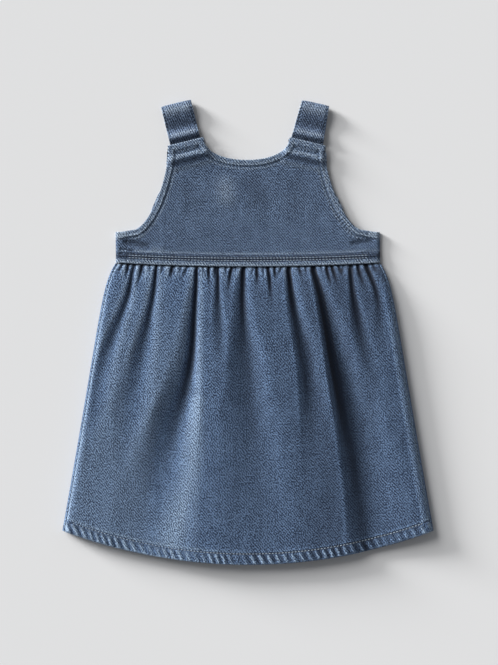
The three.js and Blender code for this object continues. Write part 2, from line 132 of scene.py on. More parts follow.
def clothWall(name, outer, cloth, tone, thickness, every=4, creased=None):
    # A closed wall on a grid of points, row by row from the top and left to right. The inner face
    # lies one thickness under the outer one, along its normal, on every 4th row and column. Where
    # the cloth is creased it keeps under the valleys between those columns.
    rows, columns = outer.shape[:2]
    normal = np.cross(np.gradient(outer, axis=0), np.gradient(outer, axis=1))
    normal /= np.linalg.norm(normal, axis=2, keepdims=True)
    innerAll = outer - normal * np.broadcast_to(thickness, (rows, columns))[..., None]
    if creased is not None:
        padded = np.pad(innerAll[..., 2], ((0, 0), (every, every)), mode="edge")
        lowest = np.min([padded[:, k:k + columns] for k in range(2 * every + 1)], axis=0)
        innerAll[..., 2] = mix(innerAll[..., 2], lowest, creased)
    r = np.unique(np.append(np.arange(0, rows, every), rows - 1))
    c = np.unique(np.append(np.arange(0, columns, every), columns - 1))
    top = np.arange(rows * columns).reshape(rows, columns)
    under = np.arange(len(r) * len(c)).reshape(len(r), len(c)) + top.size
    quads = np.stack([top[:-1, :-1], top[1:, :-1], top[1:, 1:], top[:-1, 1:]], 2).reshape(-1, 4)
    inside = np.stack([under[:-1, :-1], under[:-1, 1:], under[1:, 1:], under[1:, :-1]], 2).reshape(-1, 4)
    rims = []
    for k in range(len(r) - 1):
        steps = np.arange(r[k], r[k + 1] + 1)
        rims.append([*top[steps[::-1], 0], under[k, 0], under[k + 1, 0]])
        rims.append([*top[steps, -1], under[k + 1, -1], under[k, -1]])
    for k in range(len(c) - 1):
        steps = np.arange(c[k], c[k + 1] + 1)
        rims.append([*top[0, steps], under[0, k + 1], under[0, k]])
        rims.append([*top[-1, steps[::-1]], under[-1, k], under[-1, k + 1]])
    subset = np.ix_(r, c)
    points = np.concatenate([outer.reshape(-1, 3), innerAll[subset].reshape(-1, 3)])
    places = np.concatenate([cloth.reshape(-1, 2), cloth[subset].reshape(-1, 2)])
    # the tone holds wear and painted light and shade alike
    wearAndPaintedLight = np.concatenate([tone.ravel(), np.full(under.size, insideTone)])
    return makeMesh(name, points, [*quads.tolist(), *inside.tolist()], rims, places, wearAndPaintedLight)


insideTone = 0.12  # the inner face of denim is a little paler


def clothPlaces(outer):
    # Each point's place in the flat cloth: the length along its row from the middle column, and
    # the length down its column from the top row
    across = np.linalg.norm(np.diff(outer, axis=1), axis=2)
    along = np.cumsum(np.pad(across, ((0, 0), (1, 0))), axis=1)
    centre = outer.shape[1] // 2
    down = np.linalg.norm(np.diff(outer, axis=0), axis=2)
    depth = np.cumsum(np.pad(down, ((1, 0), (0, 0))), axis=0)
    return np.stack([along - along[:, centre:centre + 1], -depth], 2)


# ---- sewing thread

thread = {"length": 2.35, "width": 0.62, "height": 0.5, "sink": 0.22, "sides": 6}


def stitches(name, path, normals, pitch=dress["stitchPitch"], size=1.0, seed=1):
    # A run of stitches along a path: each is a short bead with pointed ends that dip into the
    # cloth, made from rings of points round its own line
    path = np.asarray(path, float)
    steps = np.linalg.norm(np.diff(path, axis=0), axis=1)
    run = np.r_[0, np.cumsum(steps)]
    count = int(run[-1] // pitch)
    at = (np.arange(count) + 0.5) * run[-1] / count
    place = np.stack([np.interp(at, run, path[:, k]) for k in range(3)], 1)
    ahead = np.stack([np.interp(at + 0.6, run, path[:, k]) - np.interp(at - 0.6, run, path[:, k])
                      for k in range(3)], 1)
    along = ahead / np.linalg.norm(ahead, axis=1, keepdims=True)
    normals = np.broadcast_to(normals, path.shape)
    up = np.stack([np.interp(at, run, normals[:, k]) for k in range(3)], 1)
    side = np.cross(up, along)
    side /= np.linalg.norm(side, axis=1, keepdims=True)
    up = np.cross(along, side)
    dice = np.random.default_rng(seed)
    turn = dice.normal(0, 0.07, count)[:, None]
    along, side = along * np.cos(turn) + side * np.sin(turn), side * np.cos(turn) - along * np.sin(turn)
    stations = np.array([-1, -0.72, 0, 0.72, 1])
    fullness = np.array([0.25, 0.8, 1, 0.8, 0.25]) * size
    angle = np.linspace(0, 2 * np.pi, thread["sides"], endpoint=False)
    s = (stations * thread["length"] / 2 * size)[None, :, None]
    w = (fullness[:, None] * np.cos(angle) * thread["width"] / 2)[None]
    h = (fullness[:, None] * np.sin(angle) * thread["height"] / 2)[None]
    lift = (thread["sink"] * (1 - 2.4 * stations**4))[None, :, None] * np.ones_like(h)
    points = (place[:, None, None] + s[..., None] * along[:, None, None]
              + w[..., None] * side[:, None, None] + (h + lift)[..., None] * up[:, None, None])
    rings, sides = len(stations), thread["sides"]
    ids = np.arange(count * rings * sides).reshape(count, rings, sides)
    around = np.roll(ids, -1, axis=2)
    quads = np.stack([ids[:, :-1], around[:, :-1], around[:, 1:], ids[:, 1:]], 3).reshape(-1, 4)
    caps = [*ids[:, 0, ::-1].tolist(), *ids[:, -1].tolist()]
    return makeMesh(name, points.reshape(-1, 3), [*quads.tolist(), *caps])


# ---- skirt

skirt = {
    "flare": 7.5, "flareReach": 14, "widening": 0.17,
    "waistTop": 5.2, "rise": 6.3, "riseReach": 22,
    "swell": 1.6, "swellX": 10, "swellHalf": 105, "swellReach": 120,
    "floor": 3.2, "floorSoftness": 0.6, "lowest": 2.5,
    "sideHeight": 4.5, "sideFold": 8, "seamTurn": 0.25,
    "seamDip": 1.5, "seamDipReach": 1.8, "slit": 1.0,
    "hemTurn": 10.3, "hemRise": 0.55, "hemGroove": 0.5, "hemEdge": 1.0,
    "ropePitch": 7.2, "ropeHeight": 0.45, "ropeSlant": 0.45,
}
foldStations = [0, 32, 100, 180, 284]
slitReach = {"short": 20, "middling": 36, "long": 70}  # "edge" is the reach of the pale edge beside a slit, a painted highlight and partly wear
widthStations = [0, 100, 284]
# each fold's "dark" is how much shade is painted into the bottom of its valley at each station
folds = [
    {"x": [-109, -114.5, -138, -150, -155], "depth": [1.2, 2.4, 2.2, 0.5, 0],
     "left": [4, 12, 18], "right": [4, 14, 30], "crisp": 0, "sharp": 0.6, "hard": 0,
     "dark": [0, 0.1, 0, 0, 0], "slit": "middling", "edge": 30},
    {"x": [-87, -90.5, -104, -116, -126], "depth": [1.8, 3, 2.8, 1.6, 0.4],
     "left": [4, 16, 60], "right": [3, 18, 36], "crisp": 0, "sharp": 1, "hard": 0,
     "dark": [0, 0.35, 0.1, 0, 0], "slit": "middling", "edge": 34},
    {"x": [-48.6, -50, -55.5, -77, -98], "depth": [2, 4.6, 9, 6.4, 1.2],
     "left": [4, 24, 50], "right": [3, 13, 52], "crisp": 0, "sharp": 1, "hard": 1,
     "dark": [0, 0.4, 1.1, 0.3, 0], "slit": "long", "edge": 60},
    {"x": [-28.6, -28, -24, -20, -20], "depth": [1.8, 2.2, 0, 0, 0],
     "left": [4, 12, 18], "right": [3, 10, 18], "crisp": 0, "sharp": 1, "hard": 0,
     "dark": [0, 0.1, 0, 0, 0], "slit": "short", "edge": 16},
    {"x": [-4, -5.2, -0.5, 7, 14], "depth": [1.8, 3.4, 5, 3.6, 1],
     "left": [5, 24, 56], "right": [4, 22, 46], "crisp": 0, "sharp": 0.6, "hard": 0,
     "dark": [0, 0.15, 0.3, 0.2, 0.1], "slit": "middling", "edge": 20},
    {"x": [38, 42, 56, 62, 64], "depth": [1.8, 3.6, 4, 0.6, 0],
     "left": [3, 10, 16], "right": [4, 20, 30], "crisp": 0.6, "sharp": 0.5, "hard": 0,
     "dark": [0, 0.2, 0.1, 0, 0], "slit": "middling", "edge": 60},
    {"x": [62, 70, 84, 101.5, 119], "depth": [2, 4.6, 9, 7.6, 4.6],
     "left": [4, 9.5, 24], "right": [4, 30, 60], "crisp": 0.7, "sharp": 0.3, "hard": 0,
     "dark": [0, 0.3, 0.7, 0.1, 0], "slit": "long", "edge": 0},
    {"x": [97, 100.5, 114, 125, 130], "depth": [1.6, 2.2, 1.4, 0, 0],
     "left": [4, 12, 22], "right": [4, 14, 24], "crisp": 0, "sharp": 0.8, "hard": 0,
     "dark": [0, 0.1, 0, 0, 0], "slit": "short", "edge": 26},
    {"x": [112.6, 123, 130, 136, 140], "depth": [1.5, 1, 0, 0, 0],
     "left": [4, 8, 14], "right": [4, 8, 14], "crisp": 0, "sharp": 0.5, "hard": 0,
     "dark": [0, 0, 0, 0, 0], "slit": "short", "edge": 0},
]
gatherKeys = ("x", "slant", "length", "depth", "half")
gathers = [dict(zip(gatherKeys, row)) for row in (
    (-113.5, -0.2, 10, 2.2, 3.5),
    (-100.2, -0.25, 14, 2.4, 3.5),
    (-72.5, -0.1, 9, 2.2, 4),
    (-38.2, 0.1, 12, 2.2, 3),
    (-32.4, 0.1, 9, 1.8, 2.6),
    (-16.2, -0.1, 15, 2.2, 3.2),
    (-5.7, 0, 12, 2, 3),
    (8.6, 0, 12, 2, 3),
    (19.1, 0.1, 22, 2.4, 3.2),
    (24.8, 0.1, 10, 1.8, 2.6),
    (37.2, 0.2, 18, 2.4, 3),
    (60.1, 0.3, 14, 2.2, 3),
    (73.5, 0.3, 12, 2.2, 3),
    (79.2, 0.3, 11, 2, 3),
    (103, 0.35, 14, 2.2, 3),
    (110.7, 0.4, 12, 2, 3),
)]
# small tucks between them, right under the waist edge
tucks = [dict(zip(gatherKeys, row)) for row in (
    (-119, -0.5, 7, 1.7, 2.2),
    (-106.5, -0.3, 6, 2, 2),
    (-93.5, 0.2, 7, 1.7, 2),
    (-80.5, -0.3, 8, 2, 2.2),
    (-65.5, 0.2, 6, 1.7, 2),
    (-58.5, -0.3, 9, 2, 2.2),
    (-43.2, 0.3, 7, 1.7, 2),
    (-21.8, 0.2, 8, 2, 2),
    (-10.6, -0.2, 6, 1.7, 1.9),
    (4.9, -0.1, 7, 1.7, 1.9),
    (13.6, 0.2, 8, 2, 2),
    (31, -0.2, 7, 2, 2),
    (48.2, 0.3, 8, 2, 2.2),
    (54.5, 0.1, 6, 1.7, 2),
    (69.2, 0.4, 6, 1.7, 1.9),
    (85.8, 0.3, 8, 2, 2.2),
    (91, -0.2, 6, 1.6, 1.9),
    (98.9, 0.5, 7, 1.7, 2),
    (117.4, 0.5, 7, 1.7, 2.2),
)]
# worn lines on the crests of the two long folds, and a broad painted highlight along the lower left crest: x at
# each distance below the waist
crests = [
    {"s": [52, 61, 128, 156, 195, 218, 245], "x": [-44, -46.7, -47.7, -50.6, -54.4, -59.1, -64],
     "half": 2.2, "tone": 0.12},
    {"s": [58, 66, 95, 123, 154, 185, 206, 266], "x": [69, 70.6, 75.8, 81.1, 84, 86.2, 89.3, 92.5],
     "half": 1.3, "tone": 0.35},
    # a broad painted highlight, not a worn line
    {"s": [120, 144, 182, 220, 255, 275], "x": [-50, -52, -52, -60, -71, -78], "half": 11, "tone": 0.36},
    {"s": [2, 10, 30, 50], "x": [-45.5, -45.2, -43.6, -43.4], "half": 1.5, "tone": 0.25},
    {"s": [3, 10, 30, 50], "x": [-53.5, -53.2, -54.4, -57], "half": 1.5, "tone": 0.35},
]


def waistY(x):
    return waistMiddle + dress["waistSag"] * (x / (dress["waistWidth"] / 2)) ** 2


def hemY(x):
    return dress["hemRadius"] - dress["length"] / 2 - np.sqrt(dress["hemRadius"] ** 2 - x**2)


def halfWidth(s):
    spring = skirt["flare"] * (1 - np.exp(-s / skirt["flareReach"]))
    return dress["waistWidth"] / 2 + spring + skirt["widening"] * s


def trough(d, left, right, crisp=0, sharp=0, hard=0):
    # 1 in a valley and 0 from "left" and "right" of it. A sharp one is a V that flattens towards
    # its crests, a crisp one falls suddenly from a crease on its left and a hard one rises to a
    # crease on its right.
    t = np.clip(np.where(d < 0, -d / left, d / right), 0, 1)
    soft = mix(1 - smooth(t), (1 - t) ** 2.3, sharp)
    return mix(soft, np.cos(np.pi / 2 * t), np.where(d < 0, crisp, hard))


def foldMiddle(f, s):
    return through(foldStations, f["x"], s)


def gatherMiddle(g, s):
    # the middle line of a gather, with a small hook right under the waist
    return g["x"] + g["slant"] * s + 2.2 * math.sin(g["x"] * 1.9) * (np.exp(-s / 5) - 0.4 * np.exp(-s / 12))


def gatherDepth(x, s, table, left, right):
    # how deep the gathers of a table are at a place, steeper on their left than on their right
    total = 0
    for g in table:
        half = g["half"] + 0.15 * s
        aside = x - gatherMiddle(g, s)
        total = total + g["depth"] * bump(s, g["length"]) * trough(aside, half * left, half * right, sharp=0.8)
    return total


def slitDepth(x, s):
    # the narrow slit at the bottom of each gather and fold, where the cloth of both sides meets
    total = 0
    for g in gathers:
        half = 1.3 + 0.02 * s
        total = total + bump(s, 1.15 * g["length"]) * trough(x - gatherMiddle(g, s), half, half * 1.3)
    for f in folds:
        reach = slitReach[f["slit"]]
        half = 1.4 + 0.02 * s
        total = total + bump(s - 0.2 * reach, reach) * trough(x - foldMiddle(f, s), half, half * 1.4)
    return total


def slitEdges(x, s):
    # the edge of the cloth that lies over each slit, just left of it, painted paler: a painted highlight,
    # partly wear
    total = 0
    for g in gathers:
        total = total + bump(s, g["length"]) * bump(x - gatherMiddle(g, s) + 2.6 + 0.06 * s, 0.9)
    for f in folds:
        if f["edge"]:
            total = total + bump(s, f["edge"]) * bump(x - foldMiddle(f, s) + 2.8 + 0.06 * s, 1)
    return total


def valleyShade(x, s):
    # the painted shade at the bottoms of the folds: how dark they are
    total = 0
    for f in folds:
        half = 3.4 + 0.04 * s
        dark = np.maximum(through(foldStations, f["dark"], s), 0)
        total = total + dark * trough(x - foldMiddle(f, s) + 1.5, half, half * (1 + s / 200))
    return total


def skirtForm(x, s):
    # height of the front: a swelling, less its folds and gathers, never below the lowest folds
    height = skirt["waistTop"] + skirt["rise"] * (1 - np.exp(-s / skirt["riseReach"]))
    height = height + (skirt["swell"] * smooth(1 - abs(x - skirt["swellX"]) / skirt["swellHalf"])
                       * smooth(s / skirt["swellReach"]))
    for f in folds:
        depth = np.maximum(through(foldStations, f["depth"], s), 0)
        left, right = through(widthStations, f["left"], s), through(widthStations, f["right"], s)
        aside, hard = x - foldMiddle(f, s), 0.35 * f["hard"] * smooth((s - 110) / 80)
        sharp = f["sharp"] * smooth(2.2 - s / slitReach[f["slit"]])
        crisp = f["crisp"] * smooth((270 - s) / 130)
        height = height - depth * trough(aside, left, right, crisp, sharp, hard)
    above = height - gatherDepth(x, s, gathers, 0.75, 1.35) - skirt["floor"]
    return skirt["floor"] + (above + np.hypot(above, skirt["floorSoftness"])) / 2


def skirtHeight(x, s):
    # the form with its small tucks and slits, the dip at the waist seam and a quiet unevenness
    near = skirt["seamDip"] * bump(s, skirt["seamDipReach"])
    loose = smooth(s / 25) * (0.2 * unevenness(x, s, 3, 26, 4) + 0.12 * unevenness(x, s, 4, 11, 3))
    small = gatherDepth(x, s, tucks, 0.8, 1.3) + skirt["slit"] * slitDepth(x, s)
    return np.maximum(skirtForm(x, s) - small - near, skirt["lowest"]) + loose


def hemRelief(x, up):
    # The turned hem: thicker up to its stitching, a groove there, slanting ropes below it and
    # little tucks above, all fading into the cloth; its lower edge is rounded
    turned = skirt["hemRise"] * smooth((skirt["hemTurn"] + 0.8 - up) / 1.6)
    groove = skirt["hemGroove"] * bump(up - skirt["hemTurn"], 0.75)
    drift = 5 * unevenness(x, 0 * x, 8, 50)
    phase = (x + skirt["ropeSlant"] * up + drift) * 2 * np.pi / skirt["ropePitch"]
    strength = 0.9 + 0.9 * unevenness(x, 0 * x, 9, 30)
    window = smooth(up / 2) * smooth((skirt["hemTurn"] - up) / 2.5)
    rope = skirt["ropeHeight"] * strength * np.sin(phase) * window
    past = up - skirt["hemTurn"]
    above = 0.16 * np.sin(phase * 1.3 + 1) * smooth(past / 1.5) * bump(past, 6)
    edge = np.clip(skirt["hemEdge"] - up, 0, skirt["hemEdge"])
    rounded = skirt["hemEdge"] - np.sqrt(skirt["hemEdge"] ** 2 - edge**2)
    return turned - groove + rope + above - 0.7 * rounded, np.sin(phase) * window * strength


def skirtTone(x, s, up, rope):
    # tone: pale where the cloth stands above its neighbours 4 mm and 9 mm to each side, wear and
    # painted highlight, painted shade in the valleys and slits, with worn crests and a worn hem
    here = skirtHeight(x, s)
    near = here - (skirtHeight(x - 4, s) + skirtHeight(x + 4, s)) / 2
    far = skirtForm(x, s) - (skirtForm(x - 9, s) + skirtForm(x + 9, s)) / 2
    near, far = np.clip(near / 0.7, -1, 1), np.clip(far / 1.6, -1, 1)
    strong = 1 + 0.4 * bump(s, 40) + 1.1 * bump(s - 3, 8)
    # pale on the rises, wear and painted highlight; darker in the hollows, painted shade
    tone = (np.where(near > 0, 0.26, 0.3) * near + np.where(far > 0, 0.08, 0.2) * far) * strong
    # painted shade in the slits and valley bottoms, and a painted highlight, partly wear, on the edges over the
    # slits
    tone = tone - 0.4 * slitDepth(x, s) - 0.5 * valleyShade(x, s) + 0.38 * slitEdges(x, s)
    for c in crests:
        inside = smooth((s - c["s"][0]) / 8) * smooth((c["s"][-1] - s) / 8)
        tone = tone + c["tone"] * inside * bump(x - through(c["s"], c["x"], s), c["half"])
    # painted shade towards the right and under the gathers, painted light at the lower left and along the far
    # right
    tone = tone + 0.15 - 0.46 * smooth((x + 85) / 90) - 0.3 * smooth((x - 30) / 50) - 0.16 * bump(s - 15, 45)
    tone = tone + 0.2 * bump(x + 68, 16) * bump(s - 250, 28)
    tone = tone + 0.1 * smooth((-75 - x) / 40) * smooth((s - 120) / 60)
    tone = tone + 0.22 * smooth((x - 108) / 24) * smooth((s - 30) / 40)
    tone = tone + 0.45 * bump(s - 0.9, 1.2)
    # the hem: pale ropes and a pale edge from its wear, the edge painted paler still against the shade of its
    # downward face, and painted shade in the groove of its stitching
    ticks = np.where(rope > 0, 1.9 * np.clip(rope, 0, 1) ** 2.2, 0.6 * rope)
    edge = 1.2 * smooth((2 - up) / 1.2) * (0.6 + rope) + ticks - 1.2 * bump(up - skirt["hemTurn"], 0.9)
    above = 0.5 * bump(up - skirt["hemTurn"] - 2.1, 1.1) + 0.03 * smooth((skirt["hemTurn"] - up) / 1)
    return tone + edge + above


def skirtPoints(t, v):
    # The skirt as a ring: t from -1 to 1 is the front, to 1.25 and -1.25 the rounded sides up to
    # the side seams. v runs from waist to hem.
    turn = np.pi * np.clip(abs(t) - 1, 0, 1)
    half = halfWidth(v * dress["sideLength"]) - skirt["sideFold"]
    x = np.clip(t, -1, 1) * half + np.sign(t) * skirt["sideFold"] * np.sin(turn)
    top = waistY(x) - dress["seamGap"]
    y = mix(top, hemY(x), v)
    s = waistY(x) - y
    up = (y - hemY(x)) * np.cos(np.arcsin(x / dress["hemRadius"]))
    return x, y, s, up, turn


def skirtFrontCloth():
    seam = 1 + skirt["seamTurn"]
    inner = np.linspace(-1, 1, 263)
    across = np.r_[np.linspace(-seam, -1, 9)[:-1], inner, np.linspace(1, seam, 9)[1:]]
    stops = [(0, 0.5), (7, 0.8), (18, 1.15), (44, 1.5), (266, 0.5), (dress["skirtLength"], 0.5)]
    rows = spaced(stops) / dress["skirtLength"]
    t, v = np.meshgrid(across, rows)
    x, y, s, up, turn = skirtPoints(t, v)
    relief, rope = hemRelief(x, up)
    lean = np.cos(turn)
    z = skirt["sideHeight"] + (skirtHeight(x, s) - skirt["sideHeight"]) * lean + relief * lean
    rim = 0.5 * bump((seam - abs(t)) * 20, 0.9)  # the cloth turns in at the side seam
    z = z - rim
    outer = np.stack([x, y, z], 2)
    tone = skirtTone(x, s, up, rope) + 0.5 * smooth((abs(t) - 1.13) / 0.1)
    # the right side edge painted pale: partly a worn edge, partly painted light against the shade of a side
    # turned away from the light
    tone = tone + 0.6 * smooth((t - 0.975) / 0.02) * smooth((s - 8) / 20)
    thickness = dress["cloth"] + 0.9 * smooth((skirt["hemTurn"] - up) / 2)
    creased = smooth((0.98 - abs(t)) / 0.04)
    return clothWall("skirtFrontCloth", outer, clothPlaces(outer), tone, thickness, creased=creased)


backFolds = [
    # soft troughs in the hidden back, which lies on the floor: x at the waist and at the hem
    {"x": -96, "foot": -128, "depth": 1, "half": 9, "reach": 190},
    {"x": -62, "foot": -70, "depth": 0.9, "half": 10, "reach": 260},
    {"x": -18, "foot": -24, "depth": 1.3, "half": 12, "reach": 200},
    {"x": 26, "foot": 38, "depth": 1.3, "half": 11, "reach": 240},
    {"x": 58, "foot": 66, "depth": 1.1, "half": 10, "reach": 170},
    {"x": 104, "foot": 138, "depth": 0.9, "half": 9, "reach": 210},
]


def backLift(x, s):
    # how far the back is off the floor: gathers under the waist, running out into the soft troughs
    lift = 0
    for i, place in enumerate(np.linspace(-112, 112, 27) + 2.6 * np.sin(np.arange(27) * 2.4)):
        length = 15 + 9 * math.sin(i * 1.7)
        half = 2.3 + 0.05 * s
        spread = place * (1 + 0.0012 * s)
        lift = lift + (1 + 0.3 * math.sin(i * 2.9)) * bump(s, length) * trough(x - spread, half, half)
    for f in backFolds:
        centre = mix(f["x"], f["foot"], s / dress["skirtLength"])
        half = f["half"] * (0.6 + 0.6 * s / dress["skirtLength"])
        depth = f["depth"] * smooth(s / 30) * smooth((f["reach"] - s) / 60)
        lift = lift + depth * trough(x - centre, half, half)
    return lift


def skirtBackCloth():
    gap = dress["seamGap"] / ((skirt["sideFold"] + skirt["sideHeight"]) * math.pi / 2)
    start = 1 + skirt["seamTurn"] + gap
    sides = np.linspace(start, 2, 16)
    # from the right side seam under the dress to the left one
    across = np.r_[sides[:-1], np.linspace(2, 4, 171), 6 - sides[::-1][1:]]
    stops = [(0, 0.8), (14, 1.4), (40, 2.1), (262, 0.7), (dress["skirtLength"], 0.7)]
    rows = spaced(stops) / dress["skirtLength"]
    t, v = np.meshgrid(across, rows)
    half = halfWidth(v * dress["sideLength"]) - skirt["sideFold"]
    turn = np.pi * np.where(t < 3, np.clip(t - 1, 0, 1), np.clip(5 - t, 0, 1))
    side = np.where(t < 3, 1, -1)
    x = np.where((t > 2) & (t < 4), (3 - t) * half, side * (half + skirt["sideFold"] * np.sin(turn)))
    y = mix(waistY(x) - dress["seamGap"], hemY(x), v)
    s = waistY(x) - y
    up = (y - hemY(x)) * np.cos(np.arcsin(np.clip(x / dress["hemRadius"], -1, 1)))
    relief, rope = hemRelief(x, up)
    above = np.cos(turn) > 0
    upper = skirtHeight(x, s) - skirt["sideHeight"]
    z = skirt["sideHeight"] + np.where(above, upper, skirt["sideHeight"]) * np.cos(turn)
    under = np.clip(-np.cos(turn), 0, 1)
    z = z + relief * np.clip(np.cos(turn), 0, 1)
    lift = np.minimum(backLift(x, s) * smooth((half + 2 - abs(x)) / 10) + 0.55, skirtHeight(x, s) - 2.4)
    z = z + under**6 * np.maximum(lift - relief, 0)
    z = z - 0.4 * bump((np.minimum(t - start, 6 - start - t)) * 20, 0.9)
    outer = np.stack([x, y, z], 2)
    near = backLift(x + 4, s) + backLift(x - 4, s) - 2 * backLift(x, s)
    tone = 0.3 * np.clip(near / 1.2, -1, 1) + 0.55 * smooth((1.3 - up) / 1) + 0.3 * rope
    tone = tone + 0.35 * smooth((0.12 - np.minimum(t - start, 6 - start - t)) / 0.1)
    thickness = dress["cloth"] + 0.9 * smooth((skirt["hemTurn"] - up) / 2)
    return clothWall("skirtBackCloth", outer, clothPlaces(outer), tone, thickness, every=3)


skirtFront = skirtFrontCloth()
skirtBack = skirtBackCloth()
print("skirt made:", len(skirtFront.data.polygons), "and", len(skirtBack.data.polygons), "faces")


# ---- bodice

bodice = {
    "top": 4.8, "fold": 3.5, "frontHalf": 115,
    "neckHalf": 41, "neckTop": 185.6, "neckDepth": 21.6, "neckPower": 2.15,
    "tabCorner": (75.2, 177.3),
    "armhole": [(74.6, 168), (80, 128), (98, 99), (108, 97.5)],
    "underarm": (122.5, 95.2),
    "lean": -1.3, "leanReach": 110, "seamGap": 0.05,
    "edgeTurn": 6.4, "tabTurn": 9.6, "turnRise": 0.55, "edgeRound": 0.9,
    "bandHeight": 14, "bandStart": 0.7,
    "waistTurn": 10, "waistRise": 1.3, "waistRows": (5.6, 8.0),
    "groove": 0.6, "grooveHalf": 0.75, "waistEdge": 1.1,
    "backRise": 1.25, "backDip": 0.2, "backFoot": 6,  # how the hidden back lifts off the floor
}
outlinePlaces = {"at": [0, 0.3, 0.42, 0.48, 0.86, 1], "foot": [0, 38, 58, 66, 108, 122.5]}
tabLift = {"height": 2.5, "half": 16.5, "aside": 6, "below": 11}
straps = [
    {"name": "strapLeftCloth", "node": "strap_left", "side": -1, "foot": (59.8, 181.7), "lean": 13.8,
     "foldWidth": 29.5, "footWidth": 29.5, "grain": 0},
    {"name": "strapRightCloth", "node": "strap_right", "side": 1, "foot": (56.4, 181.7), "lean": 12.4,
     "foldWidth": 26.6, "footWidth": 31.2, "grain": -0.5},
]
strap = {
    "length": 37.6, "tuck": 16, "reach": 7, "height": 8, "crown": 0.4, "under": 1.9, "dip": 5,
    "edgeRow": 1.7,
}
# height of the strap's front at each distance down from the shoulder
strapWaves = {"down": [7, 23, 32, 38, 60], "height": [8, 5.2, 8.1, 5.2, 5.2]}


def leanAt(y):
    return bodice["lean"] * smooth((y - waistMiddle) / bodice["leanReach"])


def bodiceOutline(u):
    # the outline from the middle of the neck, u = 0, to the side fold, u = 1 or -1: a flattened
    # quarter round for the neck, straight tab edges, one curve for the armhole, then the underarm
    a = np.clip(abs(u), 0, 1)
    at = np.array(outlinePlaces["at"])
    piece = np.clip(np.searchsorted(at, a, side="right") - 1, 0, 4)
    f = (a - at[piece]) / (at[piece + 1] - at[piece])
    angle, power = np.pi / 2 * f, 2 / bodice["neckPower"]
    neck = np.stack([bodice["neckHalf"] * np.sin(angle) ** power,
                     bodice["neckTop"] - bodice["neckDepth"] * np.clip(np.cos(angle), 0, 1) ** power], -1)
    p = np.array(bodice["armhole"], float)
    weights = np.stack([(1 - f) ** 3, 3 * f * (1 - f) ** 2, 3 * f**2 * (1 - f), f**3], -1)
    armhole = weights @ p
    ends = {1: ((bodice["neckHalf"], bodice["neckTop"]), bodice["tabCorner"]),
            2: (bodice["tabCorner"], bodice["armhole"][0]),
            4: (bodice["armhole"][3], bodice["underarm"])}
    point = np.where((piece == 0)[..., None], neck, armhole)
    for k, (start, end) in ends.items():
        line = np.array(start) + (np.array(end) - np.array(start)) * f[..., None]
        point = np.where((piece == k)[..., None], line, point)
    side = np.where(u < 0, -1, 1)
    return side * point[..., 0], point[..., 1], side * np.interp(a, at, outlinePlaces["foot"])


def bodicePlace(u, v):
    # v from 0 on the outline to 1 at the waist, its last stretch always the height of the band
    topX, topY, foot = bodiceOutline(u)
    band = bodice["bandHeight"] / (topY - waistY(foot))
    start = bodice["bandStart"]
    share = np.where(v < start, v / start * (1 - band), 1 - (1 - v) / (1 - start) * band)
    x, y = mix(topX, foot, share), mix(topY, waistY(foot), share)
    return x + leanAt(y), y


edgeU = np.linspace(-1, 1, 1201)
edgeX, edgeY = bodicePlace(edgeU, 0 * edgeU)


def nearest(x, y, pathX, pathY):
    # distance to the nearest point of a path, and its number
    flatX, flatY = np.ravel(x), np.ravel(y)
    gap, index = np.empty(flatX.size), np.empty(flatX.size, int)
    for start in range(0, flatX.size, 8000):
        part = slice(start, start + 8000)
        d = (flatX[part, None] - pathX) ** 2 + (flatY[part, None] - pathY) ** 2
        index[part] = d.argmin(1)
        gap[part] = np.sqrt(d.min(1))
    return gap.reshape(np.shape(x)), index.reshape(np.shape(x))


def insetPath():
    # The topstitching of the bib: the outline moved inwards, further under the tab edges, without
    # the points that come nearer to the outline than that, and with its corners rounded
    a = abs(edgeU)
    onTab = smooth((a - 0.285) / 0.03) * smooth((0.45 - a) / 0.03)
    inset = mix(bodice["edgeTurn"], bodice["tabTurn"], onTab)
    dx, dy = np.gradient(edgeX), np.gradient(edgeY)
    size = np.hypot(dx, dy)
    x, y = edgeX + dy / size * inset, edgeY - dx / size * inset
    keep = nearest(x, y, edgeX, edgeY)[0] > inset * 0.93
    keep &= abs(x) < bodice["frontHalf"] - 0.5
    x, y = x[keep], y[keep]
    run = np.r_[0, np.cumsum(np.hypot(np.diff(x), np.diff(y)))]
    even = np.arange(0, run[-1], 0.4)
    x, y = np.interp(even, run, x), np.interp(even, run, y)
    soft = np.hanning(9) / np.hanning(9).sum()
    x = np.convolve(np.pad(x, 4, mode="edge"), soft, "valid")
    y = np.convolve(np.pad(y, 4, mode="edge"), soft, "valid")
    return x, y


seamX, seamY = insetPath()


def tabRise(x, y):
    # how far the strap ends lift the bib, with a puckered ridge over where they stop, and the tone
    # painted on that ridge: a painted highlight on its top, partly wear, and painted shade in the dip below
    total, wearAndPaintedLight = 0, 0
    for s in straps:
        lean = math.radians(s["lean"])
        outwards = s["side"] * x - s["foot"][0]
        down = s["foot"][1] - y
        along = down * math.cos(lean) - outwards * math.sin(lean)
        aside = abs(outwards * math.cos(lean) + down * math.sin(lean))
        beside = smooth((aside - tabLift["half"]) / tabLift["aside"])
        fall = smooth((along - strap["tuck"] - 1) / tabLift["below"])
        ridge = 0.9 * bump(along - 14.5, 2.6) - 0.8 * bump(along - 19.5, 3) + 0.3 * bump(along - 4, 2.5)
        inside = np.where(s["side"] * x > 0, 1 - beside, 0)
        total = total + (tabLift["height"] * (1 - fall) + ridge) * inside
        # pale on the ridge, a painted highlight partly wear; dark in the dip below it, painted shade
        worn = 0.42 * bump(along - 13.2, 1.9) - 0.55 * bump(along - 18.5, 2.6) + 0.2 * bump(along - 24, 3)
        wearAndPaintedLight = wearAndPaintedLight + worn * inside
    return total, wearAndPaintedLight


